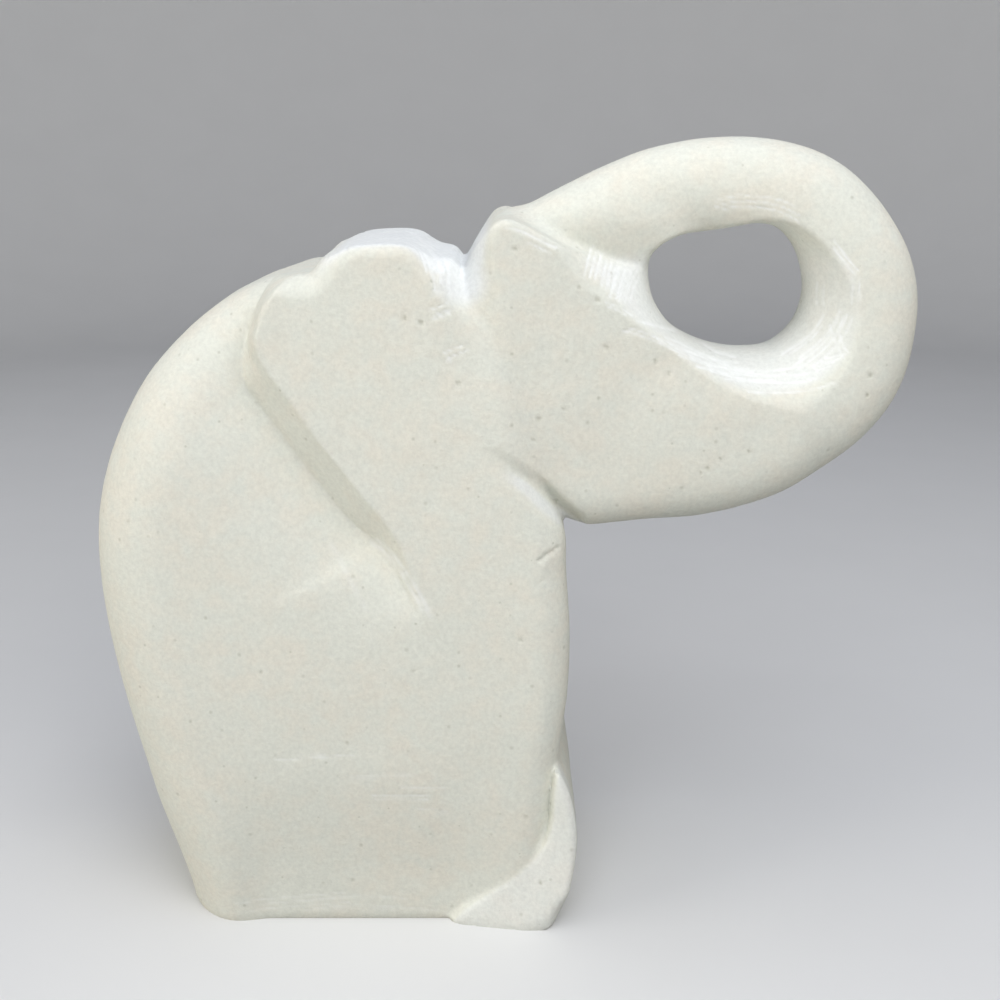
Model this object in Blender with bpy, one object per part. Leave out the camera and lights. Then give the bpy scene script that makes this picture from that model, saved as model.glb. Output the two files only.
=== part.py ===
"""A stone elephant figurine, carved from one block.

The animal stands in profile with its trunk raised and curled back over its head, so the
trunk and the head close a ring that is open right through. The block is a slab: seen from
the side it has a free outline, and across it the flanks are nearly flat with rounded edges.
The carving on the flanks is the ear's bevelled lower edge, the scoop behind it, the neck
groove, the jaw crease, the hollow between the legs and the flared front foot.

Frame: metres, +Z up. The figure faces +X and is the same on both sides of the plane Y = 0.
The origin is under the middle of its bounding box, on the plane that it stands on.
"""

import math

import bmesh
import bpy
import numpy as np

# Driving dimensions
HEIGHT = 0.200              # from the underside to the top of the curled trunk
BODY_WIDTH = 0.0604         # across the flanks, low on the body
SHOULDER_WIDTH = 0.0476     # across the ears, where the flanks have drawn in
FOOT_WIDTH = 0.0668         # across the flared front foot
NECK_WIDTH = 0.0464         # across the head beside the neck groove
MUZZLE_WIDTH = 0.0392       # across the head where it turns into the trunk
WEB_WIDTH = 0.0190          # across the stone left between the head and the trunk's tip

# Rounded edges
BACK_ROUNDING = 0.0160      # rump and back
LEG_ROUNDING = 0.0080       # front of the leg and the chest
EAR_ROUNDING = 0.0030       # top edge of the ear
JAW_ROUNDING = 0.0100       # underside of the head and the trunk's root
LEDGE_ROUNDING = 0.0020     # top edge of the head beside the trunk's tip
VALLEY_ROUNDING = 0.0050    # added to the edges of ear and head where they meet in a valley
FOOT_ROUNDING = 0.0100      # where the flared foot grows out of the leg
TOE_ROUNDING = 0.0050       # its front
WEB_ROUNDING = 0.0050       # the web between the head and the trunk's tip
BASE_ROUNDING = 0.0016      # the worn edge of the underside
UNDERSIDE_MARGIN = 0.0003   # how far the form runs on below the underside before it is cut flat

# Carved relief, as depths below the flank
SCOOP_DEPTH = 0.0060        # at the foot of the ear's bevel
LEG_HOLLOW_DEPTH = 0.0022   # between the rear leg and the front foot, at the underside
NECK_GROOVE_DEPTH = 0.0024
JAW_CREASE_DEPTH = 0.0026

# Widths of the relief across the flank
EAR_STEP_WIDTH = 0.0035     # the thin rear edge of the ear
EAR_BEVEL_WIDTH = 0.0076    # the wide bevel along its lower edge
EAR_BEVEL_END = 0.0026      # the same bevel where it runs out on the shoulder
SCOOP_REACH = 0.034         # how far the scoop runs from the bevel over the flank
NECK_GROOVE_REACH = (0.0060, 0.0110)    # on the head's side and on the ear's side
JAW_CREASE_REACH = (0.0034, 0.0060)     # on the head's side and on the chest's side
FUNNEL_NARROWING = 0.0035   # how much nearer the middle the funnel's edge lies on the trunk's limb
FUNNEL_POWER = 2.2          # how the funnel widens towards each side: 1 would be a straight cone

# The mesh
CELL = 0.0016               # pitch of the samples that the form is meshed from
SMOOTHING_PASSES = 3        # evens out the steps that the samples leave along sharp edges
SMOOTHING_SHARE = 0.5
FILLING_PASSES = 4
FILLING_DEPTH = CELL / 100  # how deep inside the stone a filled sample counts
BLOCK_LENGTH = 1.10 * HEIGHT
BLOCK_TOP = 1.03 * HEIGHT
BLOCK_BOTTOM = -2.2 * CELL
CURVE_STEPS = 8             # points from one listed point of an outline to the next
TRUNK_STEPS = 10
EAR_STEPS = 12
TRIANGLES = 9000            # what is left after the flat stretches are thinned out
SHARP_ANGLE = math.radians(40)

# The side view, in percent of the height: X to the front, Z up from the underside.
# The outlines run clockwise from the rump's foot and go on below the underside.
PERCENT = HEIGHT / 100

BODY_OUTLINE = [
    (-42.0, -30.0), (-41.8, -10.0), (-41.9, 0.0), (-43.5, 7.0), (-45.7, 15.0), (-48.3, 26.0),
    (-50.3, 36.5), (-51.2, 46.0), (-50.8, 54.5), (-48.1, 63.5), (-43.5, 71.8), (-36.2, 79.1),
    (-29.0, 83.1), (-24.2, 84.4), (-22.2, 84.7), (-20.4, 86.6), (-17.7, 87.7), (-14.5, 88.1),
    (-10.8, 88.0), (-7.8, 86.6), (-5.0, 85.6), (-2.5, 80.0), (2.0, 70.0), (6.0, 59.0),
    (8.1, 53.0), (8.4, 48.0), (9.0, 39.0), (8.8, 32.0), (7.9, 24.0), (7.2, 15.0),
    (6.5, 5.0), (5.5, -10.0), (5.5, -30.0),
]
FOOT_OUTLINE = [
    (-7.8, -4.0), (-5.6, 0.5), (-1.0, 4.4), (3.0, 7.6), (5.6, 10.8), (6.9, 14.5), (7.2, 19.5),
    (7.3, 22.2), (8.6, 20.2), (9.7, 16.3), (10.1, 11.5), (9.0, 4.5), (6.9, -0.5), (4.8, -4.0),
    (0.0, -4.5),
]
HEAD_OUTLINE = [
    (-6.0, 81.0), (-3.4, 86.5), (-1.5, 89.3), (-0.1, 90.7), (1.7, 90.8), (5.0, 89.2),
    (8.5, 87.6), (11.5, 86.7), (15.0, 84.8), (21.0, 83.0), (28.0, 82.0), (34.0, 78.0),
    (39.0, 71.0), (40.0, 65.0), (37.0, 58.7), (30.0, 55.4), (22.0, 54.1), (15.0, 53.2),
    (10.0, 53.1), (6.0, 55.2), (1.0, 59.5), (-3.0, 65.0), (-5.5, 74.0),
]
WEB_OUTLINE = [
    (3.0, 87.0), (10.0, 82.0), (18.0, 79.0), (23.0, 86.0), (21.0, 91.0), (13.0, 92.5), (6.0, 90.5),
]
RING_OPENING = [
    (18.5, 84.7), (19.0, 80.8), (21.3, 77.4), (24.6, 75.4), (28.0, 74.4), (31.2, 74.2),
    (34.4, 74.8), (37.0, 77.3), (38.1, 80.8), (37.8, 84.0), (36.6, 86.9), (34.4, 89.1),
    (31.5, 89.7), (28.3, 89.2), (25.0, 88.8), (22.0, 88.3), (19.6, 86.9),
]

# The edge of the funnel round the opening, where it meets the cheek and the trunk
FUNNEL_OUTLINE = [
    (9.0, 86.6), (11.1, 84.5), (13.0, 82.5), (15.2, 79.9), (17.6, 78.0), (20.2, 76.2), (23.6, 73.6),
    (28.3, 71.0), (33.0, 70.2), (37.1, 70.9), (40.2, 72.9), (42.2, 75.8), (43.0, 79.8), (42.4, 83.5),
    (40.0, 87.6), (36.6, 90.6), (32.0, 91.9), (27.0, 91.6), (22.5, 90.2), (19.0, 88.0), (15.0, 87.3),
    (11.5, 87.4),
]
FUNNEL_LIMB = (28.0, 42.0)  # from the cheek to the limb

# The trunk from its root to its tip: X, Z, half its height in the side view, half its width
TRUNK_STATIONS = [
    (23.0, 64.5, 10.5, 10.0), (30.0, 65.4, 9.7, 9.8), (36.0, 67.5, 9.4, 9.4),
    (40.8, 71.1, 9.0, 9.0), (43.1, 76.3, 8.5, 8.5), (43.5, 81.9, 7.9, 7.9),
    (41.2, 87.2, 7.3, 7.3), (37.1, 91.3, 6.9, 6.7), (31.6, 93.5, 6.3, 6.2),
    (25.5, 93.8, 6.0, 5.8), (19.5, 92.9, 5.7, 5.5), (14.0, 91.3, 5.2, 5.2),
    (9.0, 89.7, 4.5, 4.9), (4.5, 88.1, 3.8, 4.5),
]
TRUNK_ROOT_POWER = 3.2      # the section's squareness at the root, where 2 is an ellipse
TRUNK_TIP_POWER = 2.2
TRUNK_ROUNDS = (0.1, 0.6)   # shares of its length between which the section turns round

# The ear's rear and lower edge, from the back down to where it dies away on the shoulder
EAR_EDGE = [
    (-21.3, 86.0), (-23.8, 84.9), (-26.2, 83.3), (-27.8, 80.6), (-28.2, 77.6), (-27.4, 74.8),
    (-25.8, 71.4), (-23.3, 67.3), (-19.9, 62.5), (-15.5, 56.8), (-11.9, 51.5), (-9.8, 46.0),
    (-8.3, 41.5),
]
BEVEL_OPENS = (0.30, 0.54)  # shares of the ear's edge between which the step turns into a bevel
BEVEL_NARROWS = (0.74, 0.97)
SCOOP_FADES = (0.78, 1.00)

# The groove between the ear and the head, top to bottom, and the crease under the cheek
NECK_GROOVE = [
    (-3.7, 89.0), (-3.2, 86.0), (-2.6, 82.5), (-2.3, 79.0), (-1.5, 72.5), (0.0, 67.0),
]
GROOVE_FADES = (0.25, 1.00)
JAW_CREASE = [(-0.5, 63.3), (3.5, 60.3), (6.7, 57.0), (9.5, 54.5)]
CREASE_DEEPENS = (-0.20, 0.70)

# Where the flanks draw in, as heights, and where the head narrows to the trunk's root
FLANK_TAPER = (15.0, 95.0)
HEAD_TAPER = (-2.5, 37.5)
# The hollow between the legs: its top edge and full depth, its rear edge and its front edge
HOLLOW_HEIGHTS = (23.5, 3.5)
HOLLOW_REAR = (-37.0, -30.0)
HOLLOW_FRONT = (-7.0, 3.0)
# The heights and places where one edge rounding passes into the next
LEG_EDGE_TOP = (72.5, 60.0)
LEG_EDGE_FRONT = (-15.0, 0.0)
BACK_EDGE_FRONT = (-15.0, -5.0)
RUMP_EDGE_TOP = (60.0, 40.0)
RUMP_EDGE_FRONT = (-30.0, -10.0)
LEDGE_LINE = (91.2, -0.52)  # height of the head's top edge at X = 0, and its slope
LEDGE_BAND = (-12.5, -3.0)  # heights from that line between which its edge turns sharp
LEDGE_END = (6.0, 12.0)
TOE = (3.5, 8.0)
# The valley between ear and head: its place, and the distances between which its rounding grows
VALLEY_PLACE = (-4.6, 84.8)
VALLEY_REACH = (7.0, 2.0)

# How far neighbouring forms blend into each other where they meet
NECK_BLEND = 0.0020
TRUNK_BLEND = 0.0040
WEB_BLEND = 0.0010
FOOT_BLEND = 0.0024
RIM_BLEND = 0.0010

STONE_COLOUR = (0.708, 0.701, 0.624, 1.0)
STONE_ROUGHNESS = 0.85


def smooth_path(anchors, closed=False, steps=CURVE_STEPS):
    """Points on a Catmull-Rom curve through the anchors, whatever number of columns they have."""
    a = np.array(anchors, dtype=float)
    if closed:
        before, after = np.roll(a, 1, axis=0), np.roll(a, -1, axis=0)
        beyond = np.roll(a, -2, axis=0)
        start = a
    else:
        ends = np.vstack([2 * a[0] - a[1], a, 2 * a[-1] - a[-2]])
        before, start, after, beyond = ends[:-3], ends[1:-2], ends[2:-1], ends[3:]
    t = (np.arange(steps) / steps)[:, None, None]
    points = 0.5 * (2 * start + (after - before) * t
                    + (2 * before - 5 * start + 4 * after - beyond) * t ** 2
                    + (3 * start - before - 3 * after + beyond) * t ** 3)
    points = points.transpose(1, 0, 2).reshape(-1, a.shape[1])
    return points if closed else np.vstack([points, a[-1]])


def ramp(value, start, end):
    """0 at start, 1 at end, smooth between them; start may be the larger."""
    t = np.clip((value - start) / (end - start), 0, 1)
    return t * t * (3 - 2 * t)


def distance_to_path(X, Z, path, closed=False):
    """Distance from a path, positive on its left, and the share along it of the nearest point."""
    ends = np.roll(path, -1, axis=0)
    count = len(path) if closed else len(path) - 1
    nearest = np.full(X.shape, np.inf)
    share = np.zeros(X.shape)
    side = np.ones(X.shape)
    for i in range(count):
        (ax, az), (bx, bz) = path[i], ends[i]
        ux, uz = bx - ax, bz - az
        t = np.clip(((X - ax) * ux + (Z - az) * uz) / (ux * ux + uz * uz), 0, 1)
        gap = np.hypot(X - ax - t * ux, Z - az - t * uz)
        closer = gap < nearest
        nearest = np.where(closer, gap, nearest)
        share = np.where(closer, (i + t) / count, share)
        side = np.where(closer, np.where(ux * (Z - az) > uz * (X - ax), 1.0, -1.0), side)
    return nearest * side, share


def distance_to_outline(X, Z, anchors):
    """Distance from a closed outline in the side view, negative inside it."""
    path = smooth_path(np.array(anchors) * PERCENT, closed=True)
    distance, _ = distance_to_path(X, Z, path, closed=True)
    inside = np.zeros(X.shape, dtype=bool)
    for (ax, az), (bx, bz) in zip(path, np.roll(path, -1, axis=0)):
        if az != bz:
            spans = (az > Z) != (bz > Z)
            inside ^= spans & (X < ax + (Z - az) * (bx - ax) / (bz - az))
    return np.where(inside, -np.abs(distance), np.abs(distance))


def slab(outline, face, radius, power=2.0):
    """A plate inside its outline and under its side faces, with the edge between them rounded."""
    u = np.maximum(outline + radius, 0)
    v = np.maximum(face + radius, 0)
    inner = np.minimum(np.maximum(outline, face) + radius, 0)
    return inner + (u ** power + v ** power) ** (1 / power) - radius


def joined(a, b, reach):
    """Both forms as one, with a fillet of about this reach where they meet."""
    share = np.clip(0.5 + 0.5 * (b - a) / reach, 0, 1)
    return b + (a - b) * share - reach * share * (1 - share)


def cut_to(a, b, reach):
    """What both forms have in common, with the new edge eased by this reach."""
    return -joined(-a, -b, reach)


def ear_relief(X, Z):
    """Depth of the scoop behind the ear's edge, and the share of the bevel gone down by each place."""
    distance, share = distance_to_path(X, Z, smooth_path(np.array(EAR_EDGE) * PERCENT, steps=EAR_STEPS))
    behind = np.maximum(-distance, 0)
    bevel = (EAR_STEP_WIDTH + (EAR_BEVEL_WIDTH - EAR_STEP_WIDTH) * ramp(share, *BEVEL_OPENS)
             - (EAR_BEVEL_WIDTH - EAR_BEVEL_END) * ramp(share, *BEVEL_NARROWS))
    down = ramp(behind, 0, bevel)
    depth = SCOOP_DEPTH * ramp(share, *BEVEL_OPENS) * (1 - ramp(share, *SCOOP_FADES))
    away = np.clip(1 - np.maximum(behind - bevel, 0) / SCOOP_REACH, 0, 1)
    return depth * down * away ** 2, down


def groove_relief(X, Z, anchors, depth, reach, shape):
    """A groove along a line, with its own reach on each side."""
    distance, share = distance_to_path(X, Z, smooth_path(np.array(anchors) * PERCENT))
    reach_here = np.where(distance > 0, reach[0], reach[1])
    return depth * shape(share) * ramp(np.abs(distance), reach_here, 0)


def valley_rounding(px, pz):
    """What the valley between ear and head adds to the roundings of its edges."""
    gap = np.hypot(px - VALLEY_PLACE[0], pz - VALLEY_PLACE[1])
    return VALLEY_ROUNDING * ramp(gap, *VALLEY_REACH)


def head_half_width(px):
    """Half the width of the head at a place along its length."""
    return NECK_WIDTH / 2 - (NECK_WIDTH - MUZZLE_WIDTH) / 2 * ramp(px, *HEAD_TAPER)


def body_form(X, Z, side, creases):
    """Body, legs and ears: one slab with the relief of the flank let into its faces."""
    px, pz = X / PERCENT, Z / PERCENT
    scoop, down = ear_relief(X, Z)
    hollow = (LEG_HOLLOW_DEPTH * ramp(pz, *HOLLOW_HEIGHTS)
              * ramp(px, *HOLLOW_REAR) * (1 - ramp(px, *HOLLOW_FRONT)))
    half_width = BODY_WIDTH / 2 - (BODY_WIDTH - SHOULDER_WIDTH) / 2 * ramp(pz, *FLANK_TAPER)
    back = np.maximum(down * (1 - ramp(px, *BACK_EDGE_FRONT)),
                      ramp(pz, *RUMP_EDGE_TOP) * (1 - ramp(px, *RUMP_EDGE_FRONT)))
    leg = ramp(pz, *LEG_EDGE_TOP) * ramp(px, *LEG_EDGE_FRONT)
    radius = (EAR_ROUNDING + (LEG_ROUNDING - EAR_ROUNDING) * leg
              + (BACK_ROUNDING - EAR_ROUNDING) * back + valley_rounding(px, pz))
    outline = distance_to_outline(X, Z, BODY_OUTLINE)
    face = (scoop + hollow + creases - half_width)[:, None, :] + side
    return slab(outline[:, None, :], face, np.minimum(radius, half_width)[:, None, :])


def head_form(X, Z, side, creases):
    """The head with its flat cheeks, and the thinner web that ties the trunk's tip to it."""
    px, pz = X / PERCENT, Z / PERCENT
    above_ledge = pz - (LEDGE_LINE[0] + LEDGE_LINE[1] * px)
    ledge = ramp(above_ledge, *LEDGE_BAND) * (1 - ramp(px, *LEDGE_END))
    radius = JAW_ROUNDING - (JAW_ROUNDING - LEDGE_ROUNDING - valley_rounding(px, pz)) * ledge
    head = slab(distance_to_outline(X, Z, HEAD_OUTLINE)[:, None, :],
                (creases - head_half_width(px))[:, None, :] + side, radius[:, None, :], TRUNK_TIP_POWER)
    web = slab(distance_to_outline(X, Z, WEB_OUTLINE)[:, None, :], side - WEB_WIDTH / 2, WEB_ROUNDING)
    return joined(head, web, WEB_BLEND)


def trunk_form(X, Z, side):
    """The trunk: a limb that tapers from station to station along its curl."""
    nearest = np.full(X.shape, np.inf)
    half_height = np.ones(X.shape)
    half_width = np.ones(X.shape)
    along = np.zeros(X.shape)
    path = smooth_path(np.array(TRUNK_STATIONS) * PERCENT, steps=TRUNK_STEPS)
    for i, (x, z, height, width) in enumerate(path):
        ratio = np.hypot(X - x, Z - z) / height
        closer = ratio < nearest
        nearest = np.where(closer, ratio, nearest)
        half_height = np.where(closer, height, half_height)
        half_width = np.where(closer, width, half_width)
        along = np.where(closer, i / (len(path) - 1), along)
    power = TRUNK_ROOT_POWER - (TRUNK_ROOT_POWER - TRUNK_TIP_POWER) * ramp(along, *TRUNK_ROUNDS)
    power, half_width = power[:, None, :], half_width[:, None, :]
    section = (nearest[:, None, :] ** power + (side / half_width) ** power) ** (1 / power)
    return (section - 1) * np.minimum(half_height[:, None, :], half_width)


def ring_opening(X, Z, side):
    """The opening through the ring: tightest in the middle of the stone, a funnel to both sides."""
    px = X / PERCENT
    face = head_half_width(px) - FUNNEL_NARROWING * ramp(px, *FUNNEL_LIMB)
    outward = (side / face[:, None, :]) ** FUNNEL_POWER
    middle = distance_to_outline(X, Z, RING_OPENING)[:, None, :]
    edge = distance_to_outline(X, Z, FUNNEL_OUTLINE)[:, None, :]
    return middle + (edge - middle) * outward


def stone_form(x, y, z):
    """The whole carving as one field over the samples: negative inside, in metres."""
    X, Z = np.meshgrid(x, z, indexing="ij")
    side = np.abs(y)[None, :, None]
    creases = (groove_relief(X, Z, NECK_GROOVE, NECK_GROOVE_DEPTH, NECK_GROOVE_REACH,
                             lambda share: 1 - ramp(share, *GROOVE_FADES))
               + groove_relief(X, Z, JAW_CREASE, JAW_CREASE_DEPTH, JAW_CREASE_REACH,
                               lambda share: ramp(share, *CREASE_DEEPENS)))
    front = joined(head_form(X, Z, side, creases), trunk_form(X, Z, side), TRUNK_BLEND)
    front = cut_to(front, -ring_opening(X, Z, side), RIM_BLEND)
    stone = joined(body_form(X, Z, side, creases), front, NECK_BLEND)
    radius = FOOT_ROUNDING - (FOOT_ROUNDING - TOE_ROUNDING) * ramp(X / PERCENT, *TOE)
    foot = slab(distance_to_outline(X, Z, FOOT_OUTLINE)[:, None, :], side - FOOT_WIDTH / 2,
                radius[:, None, :])
    stone = joined(stone, foot, FOOT_BLEND)
    return cut_to(stone, np.broadcast_to(-z - UNDERSIDE_MARGIN, stone.shape), BASE_ROUNDING)


def fill_checkerboards(form):
    """Fill the shallowest hollow wherever four neighbouring samples alternate.

    Two sheets of the surface would otherwise touch along an edge there.
    """
    for _ in range(FILLING_PASSES):
        for first, second in ((0, 1), (1, 2), (0, 2)):
            swapped = np.moveaxis(form, (first, second), (0, 1))
            a, b = swapped[:-1, :-1], swapped[1:, :-1]
            c, d = swapped[1:, 1:], swapped[:-1, 1:]
            level = (a < 0) & (c < 0) & (b >= 0) & (d >= 0)
            crossed = (a >= 0) & (c >= 0) & (b < 0) & (d < 0)
            b[level] = -FILLING_DEPTH
            a[crossed] = -FILLING_DEPTH
    return form


def mesh_surface(form, axes):
    """Vertices and quads of the zero surface: one vertex in each cell that it passes through."""
    solid = form < 0
    cells = tuple(n - 1 for n in form.shape)
    total = np.zeros(cells + (3,))
    count = np.zeros(cells)
    for axis in range(3):
        u, v = [other for other in range(3) if other != axis]
        low = np.take(form, range(cells[axis]), axis)
        high = np.take(form, range(1, cells[axis] + 1), axis)
        crossing = (low < 0) != (high < 0)
        share = np.where(crossing, low / np.where(crossing, low - high, 1), 0)
        where = [np.broadcast_to(axes[k][:low.shape[k]].reshape([-1 if k == i else 1 for i in range(3)]),
                                 low.shape) for k in range(3)]
        where[axis] = where[axis] + share * CELL
        for i in (0, 1):
            for j in (0, 1):
                corner = [slice(None)] * 3
                corner[u] = slice(i, low.shape[u] - 1 + i)
                corner[v] = slice(j, low.shape[v] - 1 + j)
                corner = tuple(corner)
                count += crossing[corner]
                for k in range(3):
                    total[..., k] += np.where(crossing[corner], where[k][corner], 0)
    index = np.cumsum(count > 0).reshape(cells) - 1
    vertices = total[count > 0] / count[count > 0][:, None]
    quads = []
    for axis in range(3):
        u, v = (axis + 1) % 3, (axis + 2) % 3
        low = np.take(solid, range(cells[axis]), axis)
        crossing = np.argwhere(low != np.take(solid, range(1, cells[axis] + 1), axis))
        ring = []
        for i, j in ((0, 0), (1, 0), (1, 1), (0, 1)):
            cell = crossing.copy()
            cell[:, u] -= i
            cell[:, v] -= j
            ring.append(index[tuple(cell.T)])
        ring = np.stack(ring, axis=1)
        outward = low[tuple(crossing.T)][:, None]
        quads.append(np.where(outward, ring, ring[:, ::-1]))
    return vertices, np.vstack(quads)


def stone_material():
    """Pale, dry limestone."""
    material = bpy.data.materials.new("limestone")
    material.use_nodes = True
    shader = material.node_tree.nodes["Principled BSDF"]
    shader.inputs["Base Color"].default_value = STONE_COLOUR
    shader.inputs["Roughness"].default_value = STONE_ROUGHNESS
    shader.inputs["Metallic"].default_value = 0.0
    return material


def thinned(source):
    """The same surface, evened out and with its flat stretches in fewer, larger faces."""
    sculpt = bpy.data.objects.new("sculpt", source)
    bpy.context.scene.collection.objects.link(sculpt)
    even = sculpt.modifiers.new("even", "SMOOTH")
    even.factor = SMOOTHING_SHARE
    even.iterations = SMOOTHING_PASSES
    thin = sculpt.modifiers.new("thin", "DECIMATE")
    thin.ratio = min(1.0, TRIANGLES / (2 * len(source.polygons)))
    thin.use_symmetry = True
    thin.symmetry_axis = "Y"
    evaluated = sculpt.evaluated_get(bpy.context.evaluated_depsgraph_get())
    mesh = bpy.data.meshes.new_from_object(evaluated)
    bpy.data.objects.remove(sculpt)
    return mesh


def level_underside(mesh):
    """Cut the stone off flat at Z = 0, close the cut and centre the length on X = 0."""
    bm = bmesh.new()
    bm.from_mesh(mesh)
    everything = bm.verts[:] + bm.edges[:] + bm.faces[:]
    bmesh.ops.bisect_plane(bm, geom=everything, plane_co=(0, 0, 0), plane_no=(0, 0, 1),
                           clear_inner=True)
    rim = [edge for edge in bm.edges if edge.is_boundary]
    bmesh.ops.contextual_create(bm, geom=rim)
    bmesh.ops.recalc_face_normals(bm, faces=bm.faces[:])
    bmesh.ops.triangulate(bm, faces=bm.faces[:])
    ends = [vertex.co.x for vertex in bm.verts]
    bmesh.ops.translate(bm, vec=(-(min(ends) + max(ends)) / 2, 0, 0), verts=bm.verts[:])
    bm.to_mesh(mesh)
    bm.free()


def carve():
    """Make the carving as one object."""
    x = np.arange(-BLOCK_LENGTH / 2, BLOCK_LENGTH / 2, CELL)
    cells_each_side = math.ceil(FOOT_WIDTH / 2 / CELL) + 2
    y = np.arange(-cells_each_side, cells_each_side + 1) * CELL
    z = np.arange(BLOCK_BOTTOM, BLOCK_TOP, CELL)
    form = fill_checkerboards(stone_form(x, y, z))
    vertices, quads = mesh_surface(form, (x, y, z))
    source = bpy.data.meshes.new("sculpt")
    source.from_pydata(vertices.tolist(), [], quads.tolist())
    mesh = thinned(source)
    level_underside(mesh)
    mesh.name = "elephant_carving"
    mesh.materials.append(stone_material())
    mesh.shade_smooth()
    mesh.set_sharp_from_angle(angle=SHARP_ANGLE)
    carving = bpy.data.objects.new("elephant_carving", mesh)
    bpy.context.scene.collection.objects.link(carving)
    return carving


def main():
    for thing in list(bpy.data.objects):
        bpy.data.objects.remove(thing)
    carve()


main()
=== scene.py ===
"""A stone elephant figurine as it looks: the carved limestone, a pale floor, soft light and a camera.

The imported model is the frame. Its one stone is carved again here from the same sizes, with finer
faces, crisper edges and the carver's marks, and stands in for it.

Metres, +Z up. The figure faces +X and the camera looks along +Y, so the near side is -Y.
"""

import math

import bmesh
import bpy
import numpy as np
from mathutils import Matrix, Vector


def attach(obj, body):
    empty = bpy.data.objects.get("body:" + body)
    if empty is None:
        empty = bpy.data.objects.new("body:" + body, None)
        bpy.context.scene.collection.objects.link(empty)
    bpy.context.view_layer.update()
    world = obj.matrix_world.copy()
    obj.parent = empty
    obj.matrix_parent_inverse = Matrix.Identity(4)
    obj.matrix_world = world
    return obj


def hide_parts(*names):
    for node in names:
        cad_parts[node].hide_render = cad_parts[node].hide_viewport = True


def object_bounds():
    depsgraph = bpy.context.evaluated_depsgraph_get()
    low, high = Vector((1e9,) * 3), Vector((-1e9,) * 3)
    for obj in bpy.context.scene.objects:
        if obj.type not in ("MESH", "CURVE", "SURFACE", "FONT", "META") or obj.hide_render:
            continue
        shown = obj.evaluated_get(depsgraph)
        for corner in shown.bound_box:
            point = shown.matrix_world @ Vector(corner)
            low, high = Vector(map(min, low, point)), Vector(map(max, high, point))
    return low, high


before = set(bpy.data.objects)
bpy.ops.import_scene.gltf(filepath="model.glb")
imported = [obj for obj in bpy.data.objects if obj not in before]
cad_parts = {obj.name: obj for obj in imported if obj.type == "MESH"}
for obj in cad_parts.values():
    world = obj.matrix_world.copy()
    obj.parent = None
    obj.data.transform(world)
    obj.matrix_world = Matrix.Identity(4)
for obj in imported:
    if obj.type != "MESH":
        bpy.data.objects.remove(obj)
CAD_LOW, CAD_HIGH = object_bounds()

bl_info = {
    "name": "Elephant figurine in limestone",
    "version": (1, 0, 0),
    "blender": (4, 5, 0),
    "location": "View3D > Sidebar > Figurine",
    "description": "Carves a limestone elephant with its tool marks and sets it on a pale studio floor",
    "category": "Object",
}

MM = 0.001

# Driving sizes, as in the part
HEIGHT = 0.200
BODY_WIDTH = 0.0604
SHOULDER_WIDTH = 0.0476
FOOT_WIDTH = 0.0668
NECK_WIDTH = 0.0464
MUZZLE_WIDTH = 0.0392
WEB_WIDTH = 0.0190

BACK_ROUNDING = 0.0190
LEG_ROUNDING = 0.0080
EAR_ROUNDING = 0.0030
JAW_ROUNDING = 0.0100
LEDGE_ROUNDING = 0.0020
FOOT_ROUNDING = 0.0020
TOE_ROUNDING = 0.0045
WEB_ROUNDING = 0.0050
BASE_ROUNDING = 0.0012

FUNNEL_POWER = 2.2
FUNNEL_CORNER_POWER = 1.0
FUNNEL_NARROWING = 0.0035
VALLEY_ROUNDING = 0.0050
EAR_CORNER_ROUNDING = 0.0030
FOOT_START = 0.0300
FOOT_SLOPE = 0.0130

SCOOP_DEPTH = 0.0070
LEG_HOLLOW_DEPTH = 0.0022
NECK_GROOVE_DEPTH = 0.0024
JAW_CREASE_DEPTH = 0.0027

EAR_STEP_WIDTH = 0.0020
EAR_TURN_WIDTH = 0.0030
EAR_BEVEL_WIDTH = 0.0084
EAR_BEVEL_END = 0.0024
SCOOP_REACH = 0.032
NECK_GROOVE_REACH = (0.0060, 0.0110)
JAW_CREASE_REACH = (0.0026, 0.0046)

# The side view in percent of the height, as in the part
PERCENT = HEIGHT / 100
BODY_OUTLINE = [
    (-42.0, -30.0), (-41.8, -10.0), (-41.9, 0.0), (-43.5, 7.0), (-45.7, 15.0), (-48.3, 26.0),
    (-50.3, 36.5), (-51.2, 46.0), (-50.8, 54.5), (-48.1, 63.5), (-43.5, 71.8), (-36.2, 79.1),
    (-29.0, 83.1), (-24.2, 84.4), (-22.2, 84.7), (-20.4, 86.6), (-17.7, 87.7), (-14.5, 88.1),
    (-10.8, 88.0), (-7.8, 86.6), (-5.0, 85.6), (-2.5, 80.0), (2.0, 70.0), (6.0, 59.0),
    (8.1, 53.0), (8.4, 48.0), (9.0, 39.0), (8.8, 32.0), (7.9, 24.0), (7.2, 15.0),
    (6.5, 5.0), (5.5, -10.0), (5.5, -30.0),
]
FOOT_OUTLINE = [
    (-8.2, -4.0), (-6.0, 0.9), (-1.4, 4.8), (2.6, 8.0), (5.2, 11.2), (6.5, 14.8), (6.8, 19.5),
    (7.3, 22.2), (8.6, 20.2), (9.7, 16.3), (10.1, 11.5), (9.0, 4.5), (6.9, -0.5), (4.8, -4.0),
    (0.0, -4.5),
]
HEAD_OUTLINE = [
    (-6.0, 81.0), (-3.4, 86.5), (-1.5, 89.3), (-0.1, 90.7), (1.7, 90.8), (5.0, 89.2),
    (8.5, 87.4), (11.5, 86.3), (15.0, 85.4), (20.0, 84.8), (27.0, 82.5), (34.0, 78.0),
    (39.0, 71.0), (40.0, 65.0), (37.0, 58.7), (30.0, 55.4), (22.0, 54.1), (15.0, 53.2),
    (10.0, 53.1), (6.0, 55.2), (1.0, 59.5), (-3.0, 65.0), (-5.5, 74.0),
]
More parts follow.
